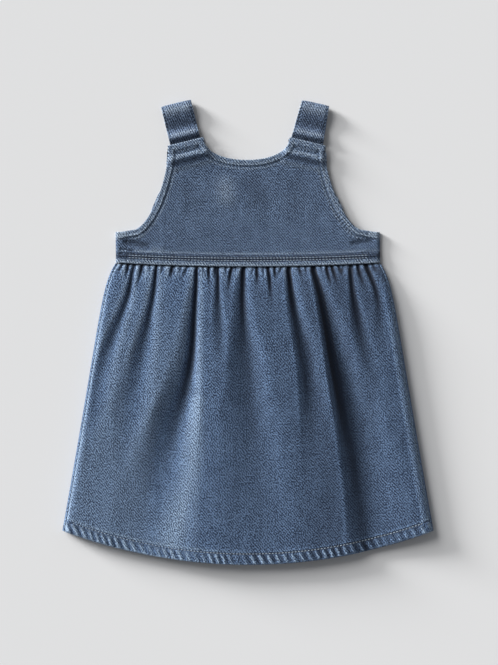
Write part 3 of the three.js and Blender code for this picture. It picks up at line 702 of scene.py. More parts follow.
puckers = [
    # creases of the bodice: start, end, depth and half width
    {"from": (-118, 86), "to": (-94, 81), "depth": 1.5, "half": 3.2},
    {"from": (-113, 91), "to": (-100, 92.5), "depth": -0.5, "half": 2.2},
    {"from": (-122, 79), "to": (-108, 76.5), "depth": 1, "half": 1.3},
    {"from": (-124, 75.5), "to": (-107, 73.5), "depth": 0.8, "half": 1.1},
    {"from": (-108, 79), "to": (-80, 78), "depth": -0.35, "half": 3},
    {"from": (119, 87), "to": (98, 84), "depth": 1.1, "half": 3},
    {"from": (121, 76.5), "to": (108, 75), "depth": 0.5, "half": 1.2},
    {"from": (-62, 140), "to": (-50, 112), "depth": 0.35, "half": 9},
    {"from": (6, 148), "to": (14, 118), "depth": 0.5, "half": 10},
    {"from": (52, 150), "to": (44, 112), "depth": 0.35, "half": 9},
    {"from": (-22, 146), "to": (-20, 122), "depth": -0.4, "half": 8},
]


def creases(x, y):
    # each crease is a bell across the line between its ends and fades beyond them
    total = 0
    for p in puckers:
        (ax, ay), (bx, by) = p["from"], p["to"]
        length = math.hypot(bx - ax, by - ay)
        along = ((x - ax) * (bx - ax) + (y - ay) * (by - ay)) / length
        aside = ((y - ay) * (bx - ax) - (x - ax) * (by - ay)) / length
        half = p["half"]
        fade = smooth((along + half) / (half * 2)) * smooth((length - along + half) / (half * 2))
        total = total - p["depth"] * fade * bump(aside, half)
    return total


def bandRelief(x, up):
    # the stitched lower edge: thick, with two sunk rows of stitches and a rounded edge below
    rise = bodice["waistRise"] * smooth((bodice["waistTurn"] + 2.5 - up) / 5)
    for row in bodice["waistRows"]:
        rise = rise - bodice["groove"] * bump(up - row, bodice["grooveHalf"])
    rise = rise - 0.18 * bump(up - 10.2, 0.9)
    ticks = 0.12 * np.sin(x * 2 * np.pi / dress["stitchPitch"] + up) * bump(up - 12, 2.5)
    edge = np.clip(bodice["waistEdge"] - up, 0, bodice["waistEdge"])
    return rise + ticks - 0.75 * (bodice["waistEdge"] - np.sqrt(bodice["waistEdge"] ** 2 - edge**2))


def turnedEdge(gap, seamGap, along):
    # the turned edge: thicker outside its stitching, a groove there, small ripples on each side
    # of it that follow the stitches, and a rounded outer edge
    turned = bodice["turnRise"] * smooth((bodice["edgeTurn"] + 1 - gap) / 2)
    groove = bodice["groove"] * bump(seamGap, bodice["grooveHalf"])
    ripple = 0.22 * np.sin(along * 2 * np.pi / 3.4) * smooth(seamGap / 0.8) * bump(seamGap, 3.6)
    edge = np.clip(bodice["edgeRound"] - gap, 0, bodice["edgeRound"])
    rounded = bodice["edgeRound"] - np.sqrt(bodice["edgeRound"] ** 2 - edge**2)
    return turned - groove + ripple - 0.8 * rounded


def bodiceRelief(x, y):
    gap, _ = nearest(x, y, edgeX, edgeY)
    seamGap, place = nearest(x, y, seamX, seamY)
    up = y - waistY(x)
    edge = turnedEdge(gap, seamGap, place * 0.4)
    band = bandRelief(x, up)
    near = smooth((up - 9) / 6)
    return mix(np.maximum(band, band + edge * 0.4), edge, near), gap, seamGap, up


def bodiceTone(gap, seamGap, up, x, y):
    # worn pale edges with slanting ticks, painted shade in the stitch grooves with painted highlights
    # on their lips, and a worn pale lower edge with two rows of ticks
    tone = 0.55 * smooth((1.7 - gap) / 1.1) + 0.32 * smooth((6 - gap) / 2) * smooth((gap - 1) / 2)
    # the stitch groove darker, painted shade; its lip paler, a painted highlight
    tone = tone - 0.5 * bump(seamGap, 0.8) + 0.42 * bump(seamGap - 1.8, 0.9)
    ticks = np.sin((x + y) * 2 * np.pi / 3.4 + 2 * unevenness(x, y, 7, 20)) * smooth((6.6 - gap) / 1.5)
    tone = tone + 0.4 * ticks
    upper = smooth((up - 11) / 4)
    # the lower edge pale with wear; pale lines between the grooves are painted highlights, and the dark beside
    # each row of stitches and at the top groove is painted shade
    band = 0.95 * smooth((2.8 - up) / 1.4) + 0.5 * bump(up - 3.6, 1) + 0.55 * bump(up - 12.6, 1.6)
    for row in bodice["waistRows"]:
        band = band - 1.4 * bump(abs(up - row) - 0.8, 0.6)
    band = band - 1.1 * bump(up - 10.4, 0.7) + 0.5 * bump(up - 6.8, 0.6)
    band = band + 0.4 * np.sin(x * 2 * np.pi / dress["stitchPitch"] + up) * smooth((14 - up) / 3)
    return mix(band, tone, upper)


def bodiceFrontHeight(x, y):
    relief, gap, seamGap, up = bodiceRelief(x, y)
    loose = 0.16 * unevenness(x, y, 5, 34) + 0.08 * unevenness(x, y, 6, 13)
    return bodice["top"] + tabRise(x, y)[0] + relief + creases(x, y) + loose, gap, seamGap, up


def outlineColumns(last):
    # columns of the bodice, about 0.9 mm apart on the outline
    at = outlinePlaces["at"]
    counts = [56, 36, 10, 92, 9]
    parts = [np.linspace(a, min(b, last), n + 1)[1:] for a, b, n in zip(at, at[1:], counts) if a < last]
    right = np.concatenate(parts)
    return np.r_[-right[::-1], 0, right]


def bodiceRows(step, bandStep):
    upper = np.linspace(0, bodice["bandStart"], round(88 / step) + 1)
    first = [0.0016, 0.0036]
    band = np.linspace(bodice["bandStart"], 1, round(bodice["bandHeight"] / bandStep) + 1)
    return np.unique(np.r_[upper, first, band, 1 - 0.006, 1 - 0.0025])


def bodiceFrontCloth():
    at, foot = outlinePlaces["at"], outlinePlaces["foot"]
    last = mix(at[4], 1, (bodice["frontHalf"] - foot[4]) / (foot[5] - foot[4]))
    u, v = np.meshgrid(outlineColumns(last), bodiceRows(0.8, 0.45))
    x, y = bodicePlace(u, v)
    z, gap, seamGap, up = bodiceFrontHeight(x, y)
    side = bodice["frontHalf"] - abs(x)
    z = z - 0.06 * bump(side, 0.5)
    tone = bodiceTone(gap, seamGap, up, x, y)
    tone = tone + 0.12 * bump(x + 22, 9) * bump(y - 134, 14) - 0.12 * bump(x - 8, 12) * bump(y - 126, 12)
    # painted shade in the creases and a painted highlight on the raised puckers, with the tab ridge's painted
    # tone
    tone = tone + tabRise(x, y)[1] + 0.6 * np.clip(creases(x, y), -1, 1)
    cloth = np.stack([x - leanAt(y), y], 2)
    return clothWall("bodiceFrontCloth", np.stack([x, y, z], 2), cloth, tone, dress["cloth"])


def bodiceBackCloth():
    # One strip: from the seam on the front right round the side, under the dress from right to
    # left and up round the other side. t is 0 to 1 on the front, 1 to 2 in the fold, 2 to 4
    # underneath, 4 to 5 in the other fold and 5 to 6 on the front again.
    under = 3 - outlineColumns(1)
    under = under[np.argsort(under)][::2]
    strip = np.r_[np.linspace(0, 1, 11)[:-1], np.linspace(1, 2, 12)[:-1]]
    across = np.r_[strip, under, 6 - strip[::-1]]
    t, v = np.meshgrid(across, bodiceRows(1.1, 0.7))
    place = np.where(t < 3, t, 6 - t)
    side = np.where(t < 3, 1, -1)
    fold = dress["waistWidth"] / 2 - bodice["fold"]
    turn = np.pi * np.clip(place - 1, 0, 1)
    out = np.where(place < 1, mix(bodice["frontHalf"] + bodice["seamGap"], fold, place),
                   fold + bodice["fold"] * np.sin(turn))
    share = (bodice["underarm"][0] - out) / (bodice["underarm"][0] - bodice["armhole"][3][0])
    topY = mix(bodice["underarm"][1], bodice["armhole"][3][1], np.maximum(share, 0))
    stripY = mix(topY, waistY(out), v)
    flatX, flatY = bodicePlace(np.clip(3 - t, -1, 1), v)
    below = place > 2
    x = np.where(below, flatX, side * out + leanAt(stripY))
    y = np.where(below, flatY, stripY)
    relief, gap, seamGap, up = bodiceRelief(x, y)
    gap = np.where(below, gap, topY - stripY)
    rowGap = abs(topY - stripY - 7)
    stripRelief = np.maximum(bandRelief(x, up), 0) + 0.5 * smooth((8 - gap) / 2) - 0.35 * bump(rowGap, 0.8)
    stripRelief = stripRelief - 0.6 * smooth((0.8 - gap) / 0.8)
    onTop = (bodice["top"] / 2 * (1 + np.cos(turn)) + stripRelief * np.clip(np.cos(turn), 0, 1)
             + creases(x, y) * (place < 1))
    onTop = onTop - 0.06 * bump(np.where(place < 1, place * 7, 9), 0.5)
    within = smooth((fold - abs(x)) / bodice["backFoot"])
    lift = np.maximum(bodice["backRise"] * within - np.maximum(relief, -bodice["backDip"]), 0) * within
    z = np.where(below, lift, np.maximum(onTop, 0))
    # painted shade in the creases and a painted highlight on the raised puckers
    stripTone = 0.85 * smooth((6.5 - gap) / 1.5) + 0.3 * bump(rowGap, 0.6) + 0.5 * np.clip(creases(x, y), -1, 1)
    stripTone = mix(bodiceTone(9 + 0 * gap, 9 + 0 * gap, up, x, y), stripTone, smooth((up - 11) / 4))
    tone = np.where(below, bodiceTone(gap, seamGap, up, x, y), stripTone)
    flat = np.where(below, -x, -side * (dress["waistWidth"] - abs(x)))
    outer, cloth = np.stack([x, y, z], 2), np.stack([flat, y], 2)
    return clothWall("bodiceBackCloth", outer, cloth, tone, dress["cloth"], every=3)


bodiceFront = bodiceFrontCloth()
bodiceBack = bodiceBackCloth()
print("bodice made:", len(bodiceFront.data.polygons), "and", len(bodiceBack.data.polygons), "faces")


# ---- straps

def strapPlace(s, across, v):
    # The face of a strap as one strip: v from 0 to 1 runs up behind, 1 to 2 round the shoulder
    # fold and 2 to 3 down the front; across is from -0.5 to 0.5
    whole = strap["length"] + strap["tuck"]
    turn = np.pi * np.clip(v - 1, 0, 1)
    down = strap["reach"] * (1 - np.sin(turn))
    z = strap["height"] / 2 * (1 - np.cos(turn))
    behind = mix(whole, strap["reach"], np.clip(v, 0, 1))
    infront = mix(strap["reach"], whole, np.clip(v - 2, 0, 1))
    down = np.where(v < 1, behind, np.where(v > 2, infront, down))
    levels = np.array(strapWaves["height"])
    part = np.interp(down, strapWaves["down"], np.arange(len(levels)))
    low = np.clip(np.floor(part).astype(int), 0, len(levels) - 2)
    waves = mix(levels[low], levels[low + 1], smooth(part - low))
    z = np.where(v < 1, strap["under"] * smooth((down - strap["length"] + strap["dip"]) / strap["dip"]), z)
    z = np.where(v > 2, waves, z)
    lean = math.radians(s["lean"]) * s["side"]
    up = strap["length"] - down
    width = mix(s["foldWidth"], s["footWidth"], np.clip(down / strap["length"], 0, 1))
    aside = across * width
    x = s["side"] * s["foot"][0] + up * math.sin(lean) + aside * math.cos(lean)
    y = s["foot"][1] + up * math.cos(lean) - aside * math.sin(lean)
    return np.stack([x, y, z], -1), down, width


def strapRelief(across, width, down, seed):
    # thinner at the edges, a groove for the stitches near each, beads between the stitches, and
    # ribs across in the waves
    inset = (0.5 - abs(across)) * width
    crown = strap["crown"] * (2 * across) ** 4
    groove = 0.34 * bump(inset - strap["edgeRow"], 0.6)
    beads = 0.14 * np.sin(down * 2 * np.pi / dress["stitchPitch"] + np.sign(across)) * bump(inset - 0.8, 1)
    rounded = np.clip(0.7 - inset, 0, 0.7)
    edge = 0.7 - np.sqrt(0.49 - rounded**2)
    loose = 0.14 * unevenness(across * width, down, seed, 9, 1)
    return -crown - groove + beads - 0.8 * edge + loose


def strapCloth(s, seed):
    across = np.r_[-0.5, -0.494, -0.485, np.linspace(-0.47, 0.47, 45), 0.485, 0.494, 0.5]
    along = np.r_[np.linspace(0, 1, 36)[:-1], np.linspace(1, 2, 22)[:-1], np.linspace(2, 3, 70)]
    a, v = np.meshgrid(across, along)
    points, down, width = strapPlace(s, a, v)
    normal = np.cross(np.gradient(points, axis=0), np.gradient(points, axis=1))
    normal /= np.linalg.norm(normal, axis=2, keepdims=True)
    relief = strapRelief(a, width, down, seed)
    outer = points + normal * relief[..., None]
    outer[..., 2] = np.maximum(outer[..., 2], 0)
    inset = (0.5 - abs(a)) * width
    front = v > 1.5
    # a painted highlight on the crests of the strap's waves, painted shade in the trough and where the strap
    # drops under the bib, painted shade in the stitch grooves, and edges paler with wear
    paintedHighlight = bump(down - 29.5, 2.8) * front + bump(down - 6, 5) * front
    dark = bump(down - 21, 4.5) * front + 0.9 * smooth((down - 32.5) / 2.4) * front
    tone = 0.45 * paintedHighlight - 0.5 * dark - 0.8 * bump(inset - strap["edgeRow"], 0.6)
    tone = tone + 0.45 * smooth((0.9 - inset) / 0.6)
    tone = tone + 0.2 * np.sin(down * 2 * np.pi / 2.6 + 3 * unevenness(0 * a, down, seed + 5, 8)) * paintedHighlight
    cloth, turn = clothPlaces(outer), s["grain"]
    cloth = cloth @ np.array([[math.cos(turn), math.sin(turn)], [-math.sin(turn), math.cos(turn)]])
    return clothWall(s["name"], outer, cloth, tone, dress["cloth"], every=3)


strapPieces = [strapCloth(s, 20 + k) for k, s in enumerate(straps)]
print("straps made:", [len(p.data.polygons) for p in strapPieces], "faces")


# ---- topstitching

def onSkirtHem():
    half = halfWidth(dress["sideLength"] * 0.96) - skirt["sideFold"] + 4
    x = np.linspace(-half, half, 900)
    slope = np.arcsin(x / dress["hemRadius"])
    y = hemY(x) + skirt["hemTurn"] / np.cos(slope)
    s = waistY(x) - y
    relief, _ = hemRelief(x, x * 0 + skirt["hemTurn"])
    flat = halfWidth(s / dress["skirtLength"] * dress["sideLength"]) - skirt["sideFold"]
    turn = np.arcsin(np.clip((abs(x) - flat) / skirt["sideFold"], 0, 1))
    z = skirt["sideHeight"] + (skirtHeight(x, s) - skirt["sideHeight"] + relief) * np.cos(turn)
    tilt = np.gradient(z, x)
    normals = np.stack([-tilt, 0 * x, 1 + 0 * x], 1)
    return np.stack([x, y, z], 1), normals / np.linalg.norm(normals, axis=1, keepdims=True)


def onBodice(x, y, below=False):
    if below:
        relief = np.maximum(bodiceRelief(x, y)[0], -bodice["backDip"])
        fold = dress["waistWidth"] / 2 - bodice["fold"]
        z = np.maximum(bodice["backRise"] - relief, 0) * smooth((fold - abs(x)) / bodice["backFoot"])
        return np.stack([x, y, z], 1)
    return np.stack([x, y, bodiceFrontHeight(x, y)[0]], 1)


upwards, downwards = np.array([0, 0, 1.0]), np.array([0, 0, -1.0])
sewing = {}
hemPath, hemNormals = onSkirtHem()
sewing["hemStitchesFront"] = stitches("hemStitchesFront", hemPath, hemNormals, seed=31)
hemX = np.linspace(160, -160, 800)
hemRow = hemY(hemX) + skirt["hemTurn"] / np.cos(np.arcsin(hemX / dress["hemRadius"]))
hemUnder = np.stack([hemX, hemRow, 0 * hemX + 0.5], 1)
sewing["hemStitchesBack"] = stitches("hemStitchesBack", hemUnder, downwards, seed=32)
sewing["bibStitches"] = stitches("bibStitches", onBodice(seamX, seamY), upwards, seed=33)
sewing["backStitches"] = stitches("backStitches", onBodice(seamX, seamY, True)[::-1], downwards, seed=34)
for k, row in enumerate(bodice["waistRows"]):
    x = np.linspace(-114, 114, 700)
    y = waistY(x) + row
    sewing[f"waistStitches{k + 1}"] = stitches(f"waistStitches{k + 1}", onBodice(x, y), upwards, seed=35 + k)
    name = f"backWaistStitches{k + 1}"
    sewing[name] = stitches(name, onBodice(x[::-1], y[::-1], True), downwards, seed=37 + k)
for k, (s, piece) in enumerate(zip(straps, strapPieces)):
    for edge in (-1, 1):
        v = np.linspace(0.35, 2.68, 400)
        width = strapPlace(s, 0 * v, v)[2]
        across = edge * (0.5 - strap["edgeRow"] / width)
        points, down, _ = strapPlace(s, across, v)
        aside = strapPlace(s, across + 0.02, v)[0] - points
        ahead = np.gradient(points, axis=0)
        normals = np.cross(ahead, aside)
        normals /= np.linalg.norm(normals, axis=1, keepdims=True)
        relief = strapRelief(across, width, down, 20 + k)
        side = "Outer" if edge == s["side"] else "Inner"
        name = s["name"].replace("Cloth", "Stitches") + side
        path = points + normals * relief[:, None]
        sewing[name] = stitches(name, path, normals, size=0.85, seed=41 + 2 * k + (edge > 0))
print("stitched:", len(sewing), "runs")


# ---- denim and thread

def newNode(tree, kind, place, **values):
    node = tree.nodes.new(kind)
    node.location = place
    for key, value in values.items():
        if hasattr(node, key):
            setattr(node, key, value)
        else:
            node.inputs[key.replace("_", " ")].default_value = value
    return node


def mathNode(tree, operation, a, b=None, place=(0, 0)):
    node = tree.nodes.new("ShaderNodeMath")
    node.operation = operation
    node.location = place
    for socket, value in zip(node.inputs, (a, b)):
        if value is None:
            continue
        if isinstance(value, (int, float)):
            socket.default_value = value
        else:
            tree.links.new(value, socket)
    return node.outputs[0]


def mixColour(tree, factor, a, b, place=(0, 0)):
    node = tree.nodes.new("ShaderNodeMix")
    node.data_type = "RGBA"
    node.location = place
    node.clamp_factor = True
    for socket, value in ((node.inputs[0], factor), (node.inputs[6], a), (node.inputs[7], b)):
        if isinstance(value, (int, float, tuple)):
            socket.default_value = value
        else:
            tree.links.new(value, socket)
    return node.outputs[2]


def denimGroup():
    # Washed denim: slanting twill lines, strong in some patches and weak in others, broken by
    # short floats and pale flecks, with blotches and faint upright streaks. The tone makes it paler with wear
    # and painted highlights and darker with painted shade, and the paleness comes first on the raised lines.
    group = bpy.data.node_groups.new("washedDenim", "ShaderNodeTree")
    face = group.interface
    for name, kind, value in (("Cloth", "NodeSocketVector", None), ("Tone", "NodeSocketFloat", 0.0),
                              ("Lean", "NodeSocketFloat", 0.7), ("Pitch", "NodeSocketFloat", 2.0),
                              ("Contrast", "NodeSocketFloat", 1.0), ("Lines", "NodeSocketFloat", 1.0),
                              ("Specks", "NodeSocketFloat", 3.1),
                              ("Indigo", "NodeSocketColor", (0.02, 0.04, 0.08, 1)),
                              ("Faded", "NodeSocketColor", (0.1, 0.15, 0.24, 1)),
                              ("Worn", "NodeSocketColor", (0.3, 0.4, 0.5, 1))):
        socket = face.new_socket(name, in_out="INPUT", socket_type=kind)
        if value is not None:
            socket.default_value = value
    for name, kind in (("Colour", "NodeSocketColor"), ("Height", "NodeSocketFloat"),
                       ("Roughness", "NodeSocketFloat")):
        face.new_socket(name, in_out="OUTPUT", socket_type=kind)
    given = newNode(group, "NodeGroupInput", (-1800, 0)).outputs

    def noiseOn(stretch, detail, place):
        squeeze = newNode(group, "ShaderNodeVectorMath", place, operation="MULTIPLY")
        squeeze.inputs[1].default_value = (*stretch, 1)
        group.links.new(given["Cloth"], squeeze.inputs[0])
        noise = newNode(group, "ShaderNodeTexNoise", (place[0] + 200, place[1]), Scale=1.0,
                        Detail=detail, Roughness=0.6)
        group.links.new(squeeze.outputs[0], noise.inputs["Vector"])
        return mathNode(group, "SUBTRACT", noise.outputs["Fac"], 0.5, (place[0] + 400, place[1]))

    turned = newNode(group, "ShaderNodeVectorRotate", (-1500, 400), rotation_type="Z_AXIS")
    group.links.new(given["Cloth"], turned.inputs["Vector"])
    group.links.new(given["Lean"], turned.inputs["Angle"])
    wave = newNode(group, "ShaderNodeTexWave", (-1300, 400), wave_type="BANDS", bands_direction="X",
                   Distortion=0.6, Detail=2.0, Detail_Scale=1.6, Detail_Roughness=0.65)
    group.links.new(turned.outputs[0], wave.inputs["Vector"])
    group.links.new(mathNode(group, "DIVIDE", 0.314159, given["Pitch"], (-1500, 200)), wave.inputs["Scale"])
    floats = noiseOn((1.05, 0.65), 1.5, (-1500, 0))
    fleck = noiseOn((1.1, 0.9), 1.0, (-1500, -200))
    patchy = noiseOn((0.2, 0.14), 1.5, (-1500, -400))
    blotch = noiseOn((0.10, 0.06), 1.5, (-1500, -600))
    streak = noiseOn((0.4, 0.014), 3.0, (-1500, -800))
    line = mathNode(group, "SUBTRACT", wave.outputs["Fac"], 0.5, (-1000, 400))
    gain = mathNode(group, "MULTIPLY_ADD", patchy, 3.6, (-1000, 200))
    gain.node.inputs[2].default_value = 0.8
    strength = mathNode(group, "MULTIPLY", gain, given["Lines"], (-850, 200))
    lines = mathNode(group, "MULTIPLY", line, strength, (-800, 300))
    speck = mathNode(group, "MULTIPLY", floats, given["Specks"], (-800, 100))
    woven = mathNode(group, "ADD", lines, speck, (-600, 200))
    weave = mathNode(group, "MULTIPLY", woven, given["Contrast"], (-400, 200))
    broad = mathNode(group, "ADD", mathNode(group, "MULTIPLY", blotch, 0.8, (-800, -600)),
                     mathNode(group, "MULTIPLY", streak, 0.65, (-800, -800)), (-600, -700))
    value = mathNode(group, "ADD", mathNode(group, "ADD", weave, broad, (-200, 0)), 0.46, (0, 0))
    base = mixColour(group, value, given["Indigo"], given["Faded"], place=(200, 0))
    spots = newNode(group, "ShaderNodeMapRange", (-200, -200), interpolation_type="SMOOTHSTEP")
    for socket, limit in zip(spots.inputs[1:5], (0.10, 0.26, 0.0, 0.5)):
        socket.default_value = limit
    group.links.new(fleck, spots.inputs[0])
    flecked = mixColour(group, mathNode(group, "MULTIPLY", spots.outputs[0], wave.outputs["Fac"], (0, -200)),
                        base, given["Worn"], place=(400, 0))
    wearAndPaintedLight = mathNode(group, "MAXIMUM", given["Tone"], 0.0, (-200, -400))
    first = mathNode(group, "ADD", mathNode(group, "MULTIPLY", weave, 0.9, (0, -400)), 0.66, (200, -400))
    raised = mathNode(group, "MAXIMUM", first, 0.12, (400, -400))
    patchyPaleness = mathNode(group, "ADD", mathNode(group, "MULTIPLY", fleck, 1.2, (200, -550)), 1.0, (400, -550))
    uneven = mathNode(group, "MULTIPLY", raised, patchyPaleness, (600, -400))
    paleness = mathNode(group, "MULTIPLY", wearAndPaintedLight, uneven, (800, -300))
    pale = mixColour(group, paleness, flecked, given["Worn"], (1000, 0))
    # negative tone darkens it towards deep indigo: the painted shade, with the darker parts of the wear
    # patterns
    below = mathNode(group, "MULTIPLY", given["Tone"], -1.0, (400, -700))
    below = mathNode(group, "MAXIMUM", below, 0.0, (600, -700))
    darkness = mathNode(group, "MULTIPLY", below, 0.75, (800, -700))
    dark = mixColour(group, darkness, pale, (0.008, 0.015, 0.032, 1), (1200, 0))
    out = newNode(group, "NodeGroupOutput", (1450, 0))
    group.links.new(dark, out.inputs["Colour"])
    group.links.new(mathNode(group, "ADD", weave, 0.5, (1200, 300)), out.inputs["Height"])
    polish = mathNode(group, "MULTIPLY", wearAndPaintedLight, 0.12, (1000, -200))
    group.links.new(mathNode(group, "SUBTRACT", 0.97, polish, (1200, -200)), out.inputs["Roughness"])
    return group


denim = denimGroup()
# each worn colour is the pale one that the tone mixes towards, for wear and painted highlights alike
denims = {
    "bodiceDenim": {"lean": -0.70, "pitch": 1.95, "contrast": 1.55, "lines": 1.0, "specks": 4.0, "relief": 0.3,
                    "indigo": (0.012, 0.024, 0.055, 1), "faded": (0.155, 0.232, 0.365, 1),
                    "worn": (0.38, 0.48, 0.60, 1)},
    "strapDenim": {"lean": -0.2, "pitch": 2.1, "contrast": 1.25, "lines": 1.0, "specks": 3.7, "relief": 0.32,
                   "indigo": (0.012, 0.022, 0.050, 1), "faded": (0.158, 0.228, 0.355, 1),
                    "worn": (0.40, 0.49, 0.60, 1)},
    "skirtDenim": {"lean": -0.70, "pitch": 2.05, "contrast": 1.5, "lines": 0.75, "specks": 4.2, "relief": 0.3,
                   "indigo": (0.012, 0.026, 0.062, 1), "faded": (0.158, 0.252, 0.418, 1),
                    "worn": (0.32, 0.44, 0.60, 1)},
}


def denimMaterial(name, look):
    material = bpy.data.materials.new(name)
    material.use_nodes = True
    tree = material.node_tree
    tree.nodes.clear()
    out = newNode(tree, "ShaderNodeOutputMaterial", (700, 0))
    shader = newNode(tree, "ShaderNodeBsdfPrincipled", (400, 0))
    shader.inputs["Specular IOR Level"].default_value = 0.18
    shader.inputs["Sheen Weight"].default_value = 0.10
    shader.inputs["Sheen Roughness"].default_value = 0.6
    weave = newNode(tree, "ShaderNodeGroup", (50, 0))
    weave.node_tree = denim
    places = newNode(tree, "ShaderNodeUVMap", (-500, 100), uv_map="cloth")
    size = newNode(tree, "ShaderNodeVectorMath", (-250, 100), operation="MULTIPLY")
    size.inputs[1].default_value = (100, 100, 100)  # to millimetres of cloth
    tree.links.new(places.outputs["UV"], size.inputs[0])
    tree.links.new(size.outputs[0], weave.inputs["Cloth"])
    # the tone holds wear and painted light and shade
    wearAndPaintedLight = newNode(tree, "ShaderNodeAttribute", (-250, -150), attribute_name="tone")
    tree.links.new(wearAndPaintedLight.outputs["Fac"], weave.inputs["Tone"])
    for socket in ("Lean", "Pitch", "Contrast", "Lines", "Specks", "Indigo", "Faded", "Worn"):
        weave.inputs[socket].default_value = look[socket.lower()]
    relief = newNode(tree, "ShaderNodeBump", (250, -250), Strength=0.8, Distance=look["relief"] * mm)
    tree.links.new(weave.outputs["Height"], relief.inputs["Height"])
    tree.links.new(relief.outputs[0], shader.inputs["Normal"])
    tree.links.new(weave.outputs["Colour"], shader.inputs["Base Color"])
    tree.links.new(weave.outputs["Roughness"], shader.inputs["Roughness"])
    tree.links.new(shader.outputs[0], out.inputs[0])
    return material


def threadMaterial(name, deep, faded):
    # spun thread with its fine twist and uneven fading between two colours
    material = bpy.data.materials.new(name)
    material.use_nodes = True
    tree = material.node_tree
    shader = tree.nodes["Principled BSDF"]
    shader.inputs["Specular IOR Level"].default_value = 0.25
    shader.inputs["Roughness"].default_value = 0.75
    place = newNode(tree, "ShaderNodeTexCoord", (-900, 0))
    fade = newNode(tree, "ShaderNodeTexNoise", (-650, 100), Scale=160.0, Detail=2.0)
    tree.links.new(place.outputs["Object"], fade.inputs["Vector"])
    twist = newNode(tree, "ShaderNodeTexWave", (-650, -150), wave_type="BANDS",
                    bands_direction="DIAGONAL", Scale=500.0)
    tree.links.new(place.outputs["Object"], twist.inputs["Vector"])
    colour = mixColour(tree, fade.outputs["Fac"], deep, faded, place=(-350, 100))
    tree.links.new(colour, shader.inputs["Base Color"])
    relief = newNode(tree, "ShaderNodeBump", (-350, -150), Strength=0.5, Distance=0.1 * mm)
    tree.links.new(twist.outputs["Fac"], relief.inputs["Height"])
    tree.links.new(relief.outputs[0], shader.inputs["Normal"])
    return material


materials = {name: denimMaterial(name, look) for name, look in denims.items()}
threads = {"paleThread": threadMaterial("paleThread", (0.20, 0.28, 0.38, 1), (0.52, 0.60, 0.68, 1)),
           "darkThread": threadMaterial("darkThread", (0.02, 0.034, 0.07, 1), (0.24, 0.33, 0.44, 1))}

paleRuns = ("hem", "waist", "backWaist")  # how the names of the runs in pale thread begin

# what each cloth piece stands for, its finish, its flat cut in millimetres and its sewing
clothPieces = [
    {"piece": skirtFront, "node": "skirt_front", "look": "skirtDenim", "slot": "skirt_denim",
     "flat": (400, 300), "rests": ["skirt_back"], "sewing": ["hemStitchesFront"]},
    {"piece": skirtBack, "node": "skirt_back", "look": "skirtDenim", "slot": "skirt_denim",
     "flat": (380, 300), "rests": [], "sewing": ["hemStitchesBack"]},
    {"piece": bodiceFront, "node": "bodice_front", "look": "bodiceDenim", "slot": "bodice_denim",
     "flat": (232, 124), "area": 0.0218, "rests": ["bodice_back"],
     "sewing": ["bibStitches", "waistStitches1", "waistStitches2"]},
    {"piece": bodiceBack, "node": "bodice_back", "look": "bodiceDenim", "slot": "bodice_denim",
     "flat": (274, 124), "area": 0.0232, "rests": [],
     "sewing": ["backStitches", "backWaistStitches1", "backWaistStitches2"]},
    {"piece": strapPieces[0], "node": "strap_left", "look": "strapDenim", "slot": "strap_denim",
     "flat": (29.5, 112), "rests": ["bodice_back"],
     "sewing": ["strapLeftStitchesOuter", "strapLeftStitchesInner"]},
    {"piece": strapPieces[1], "node": "strap_right", "look": "strapDenim", "slot": "strap_denim",
     "flat": (29, 112), "rests": ["bodice_back"],
     "sewing": ["strapRightStitchesOuter", "strapRightStitchesInner"]},
]
for item in clothPieces:
    piece = item["piece"]
    piece.data.materials.append(materials[item["look"]])
    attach(piece, "root")
    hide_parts(item["node"])
    runs = [sewing[name] for name in item["sewing"]]
    for run in runs:
        run.data.materials.append(threads["paleThread" if run.name.startswith(paleRuns) else "darkThread"])
        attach(run, "root")
print("dressed:", len(clothPieces), "pieces of cloth")


# ---- floor, light and camera

studio = {
    "floor": 3000, "floorAlbedo": 0.80, "white": 0.745,
    "ambient": 0.19,
    "lights": [{"name": "key", "azimuth": 139, "elevation": 34, "spread": 38, "share": 0.5},
               {"name": "low", "azimuth": 148, "elevation": 12, "spread": 17, "share": 0.5}],
    "frameWidth": 475.1, "frameHeight": 634.4, "centre": (0.95, -0.48), "height": 3000,
}


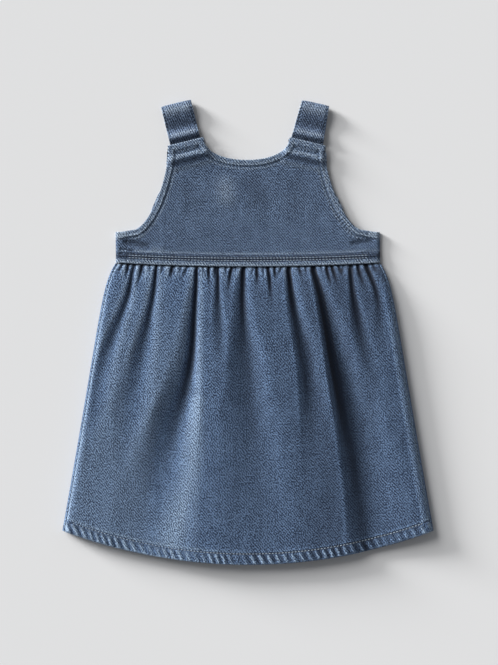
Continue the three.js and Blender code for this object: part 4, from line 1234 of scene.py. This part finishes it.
def makeFloor():
    half = studio["floor"]
    corners = [(-half, -half, 0), (half, -half, 0), (half, half, 0), (-half, half, 0)]
    floor = makeMesh("floor", corners, [[0, 1, 2, 3]])
    floor.location.z = -0.02 * mm
    material = bpy.data.materials.new("paleFloor")
    material.use_nodes = True
    shader = material.node_tree.nodes["Principled BSDF"]
    shader.inputs["Base Color"].default_value = (*[studio["floorAlbedo"]] * 3, 1)
    shader.inputs["Roughness"].default_value = 1
    shader.inputs["Specular IOR Level"].default_value = 0
    floor.data.materials.append(material)


def makeLights():
    # A broad soft key from the upper left and a low one under it that draws out the shadows. Each
    # is as strong as its share of what the bare floor needs for its white.
    needed = studio["white"] / studio["floorAlbedo"] - studio["ambient"]
    for row in studio["lights"]:
        elevation = math.radians(row["elevation"])
        light = bpy.data.lights.new(row["name"], "SUN")
        light.angle = math.radians(row["spread"])
        light.energy = math.pi * needed * row["share"] / math.sin(elevation)
        lamp = bpy.data.objects.new(row["name"], light)
        lamp.rotation_euler = (0, math.pi / 2 - elevation, math.radians(row["azimuth"]))
        bpy.context.scene.collection.objects.link(lamp)


def makeWorld():
    # the light from all round is weak, while the camera sees a pale backdrop
    world = bpy.data.worlds.new("studio")
    bpy.context.scene.world = world
    world.use_nodes = True
    tree = world.node_tree
    tree.nodes.clear()
    out = newNode(tree, "ShaderNodeOutputWorld", (400, 0))
    seen = newNode(tree, "ShaderNodeBackground", (0, 150), Color=(*[studio["white"]] * 3, 1))
    lit = newNode(tree, "ShaderNodeBackground", (0, -50), Color=(0.97, 0.99, 1.03, 1),
                  Strength=studio["ambient"])
    path = newNode(tree, "ShaderNodeLightPath", (0, 450))
    both = newNode(tree, "ShaderNodeMixShader", (200, 50))
    tree.links.new(path.outputs["Is Camera Ray"], both.inputs[0])
    tree.links.new(lit.outputs[0], both.inputs[1])
    tree.links.new(seen.outputs[0], both.inputs[2])
    tree.links.new(both.outputs[0], out.inputs[0])


def makeCamera():
    # straight above, with a long lens; the sensor's width goes with the long side of the picture
    data = bpy.data.cameras.new("camera")
    data.sensor_width = 36
    data.lens = data.sensor_width * studio["height"] / studio["frameHeight"]
    camera = bpy.data.objects.new("camera", data)
    camera.location = (studio["centre"][0] * mm, studio["centre"][1] * mm, studio["height"] * mm)
    bpy.context.scene.collection.objects.link(camera)
    bpy.context.scene.camera = camera


makeFloor()
makeLights()
makeWorld()
makeCamera()
bpy.context.scene.view_settings.view_transform = "Standard"
print("studio set")
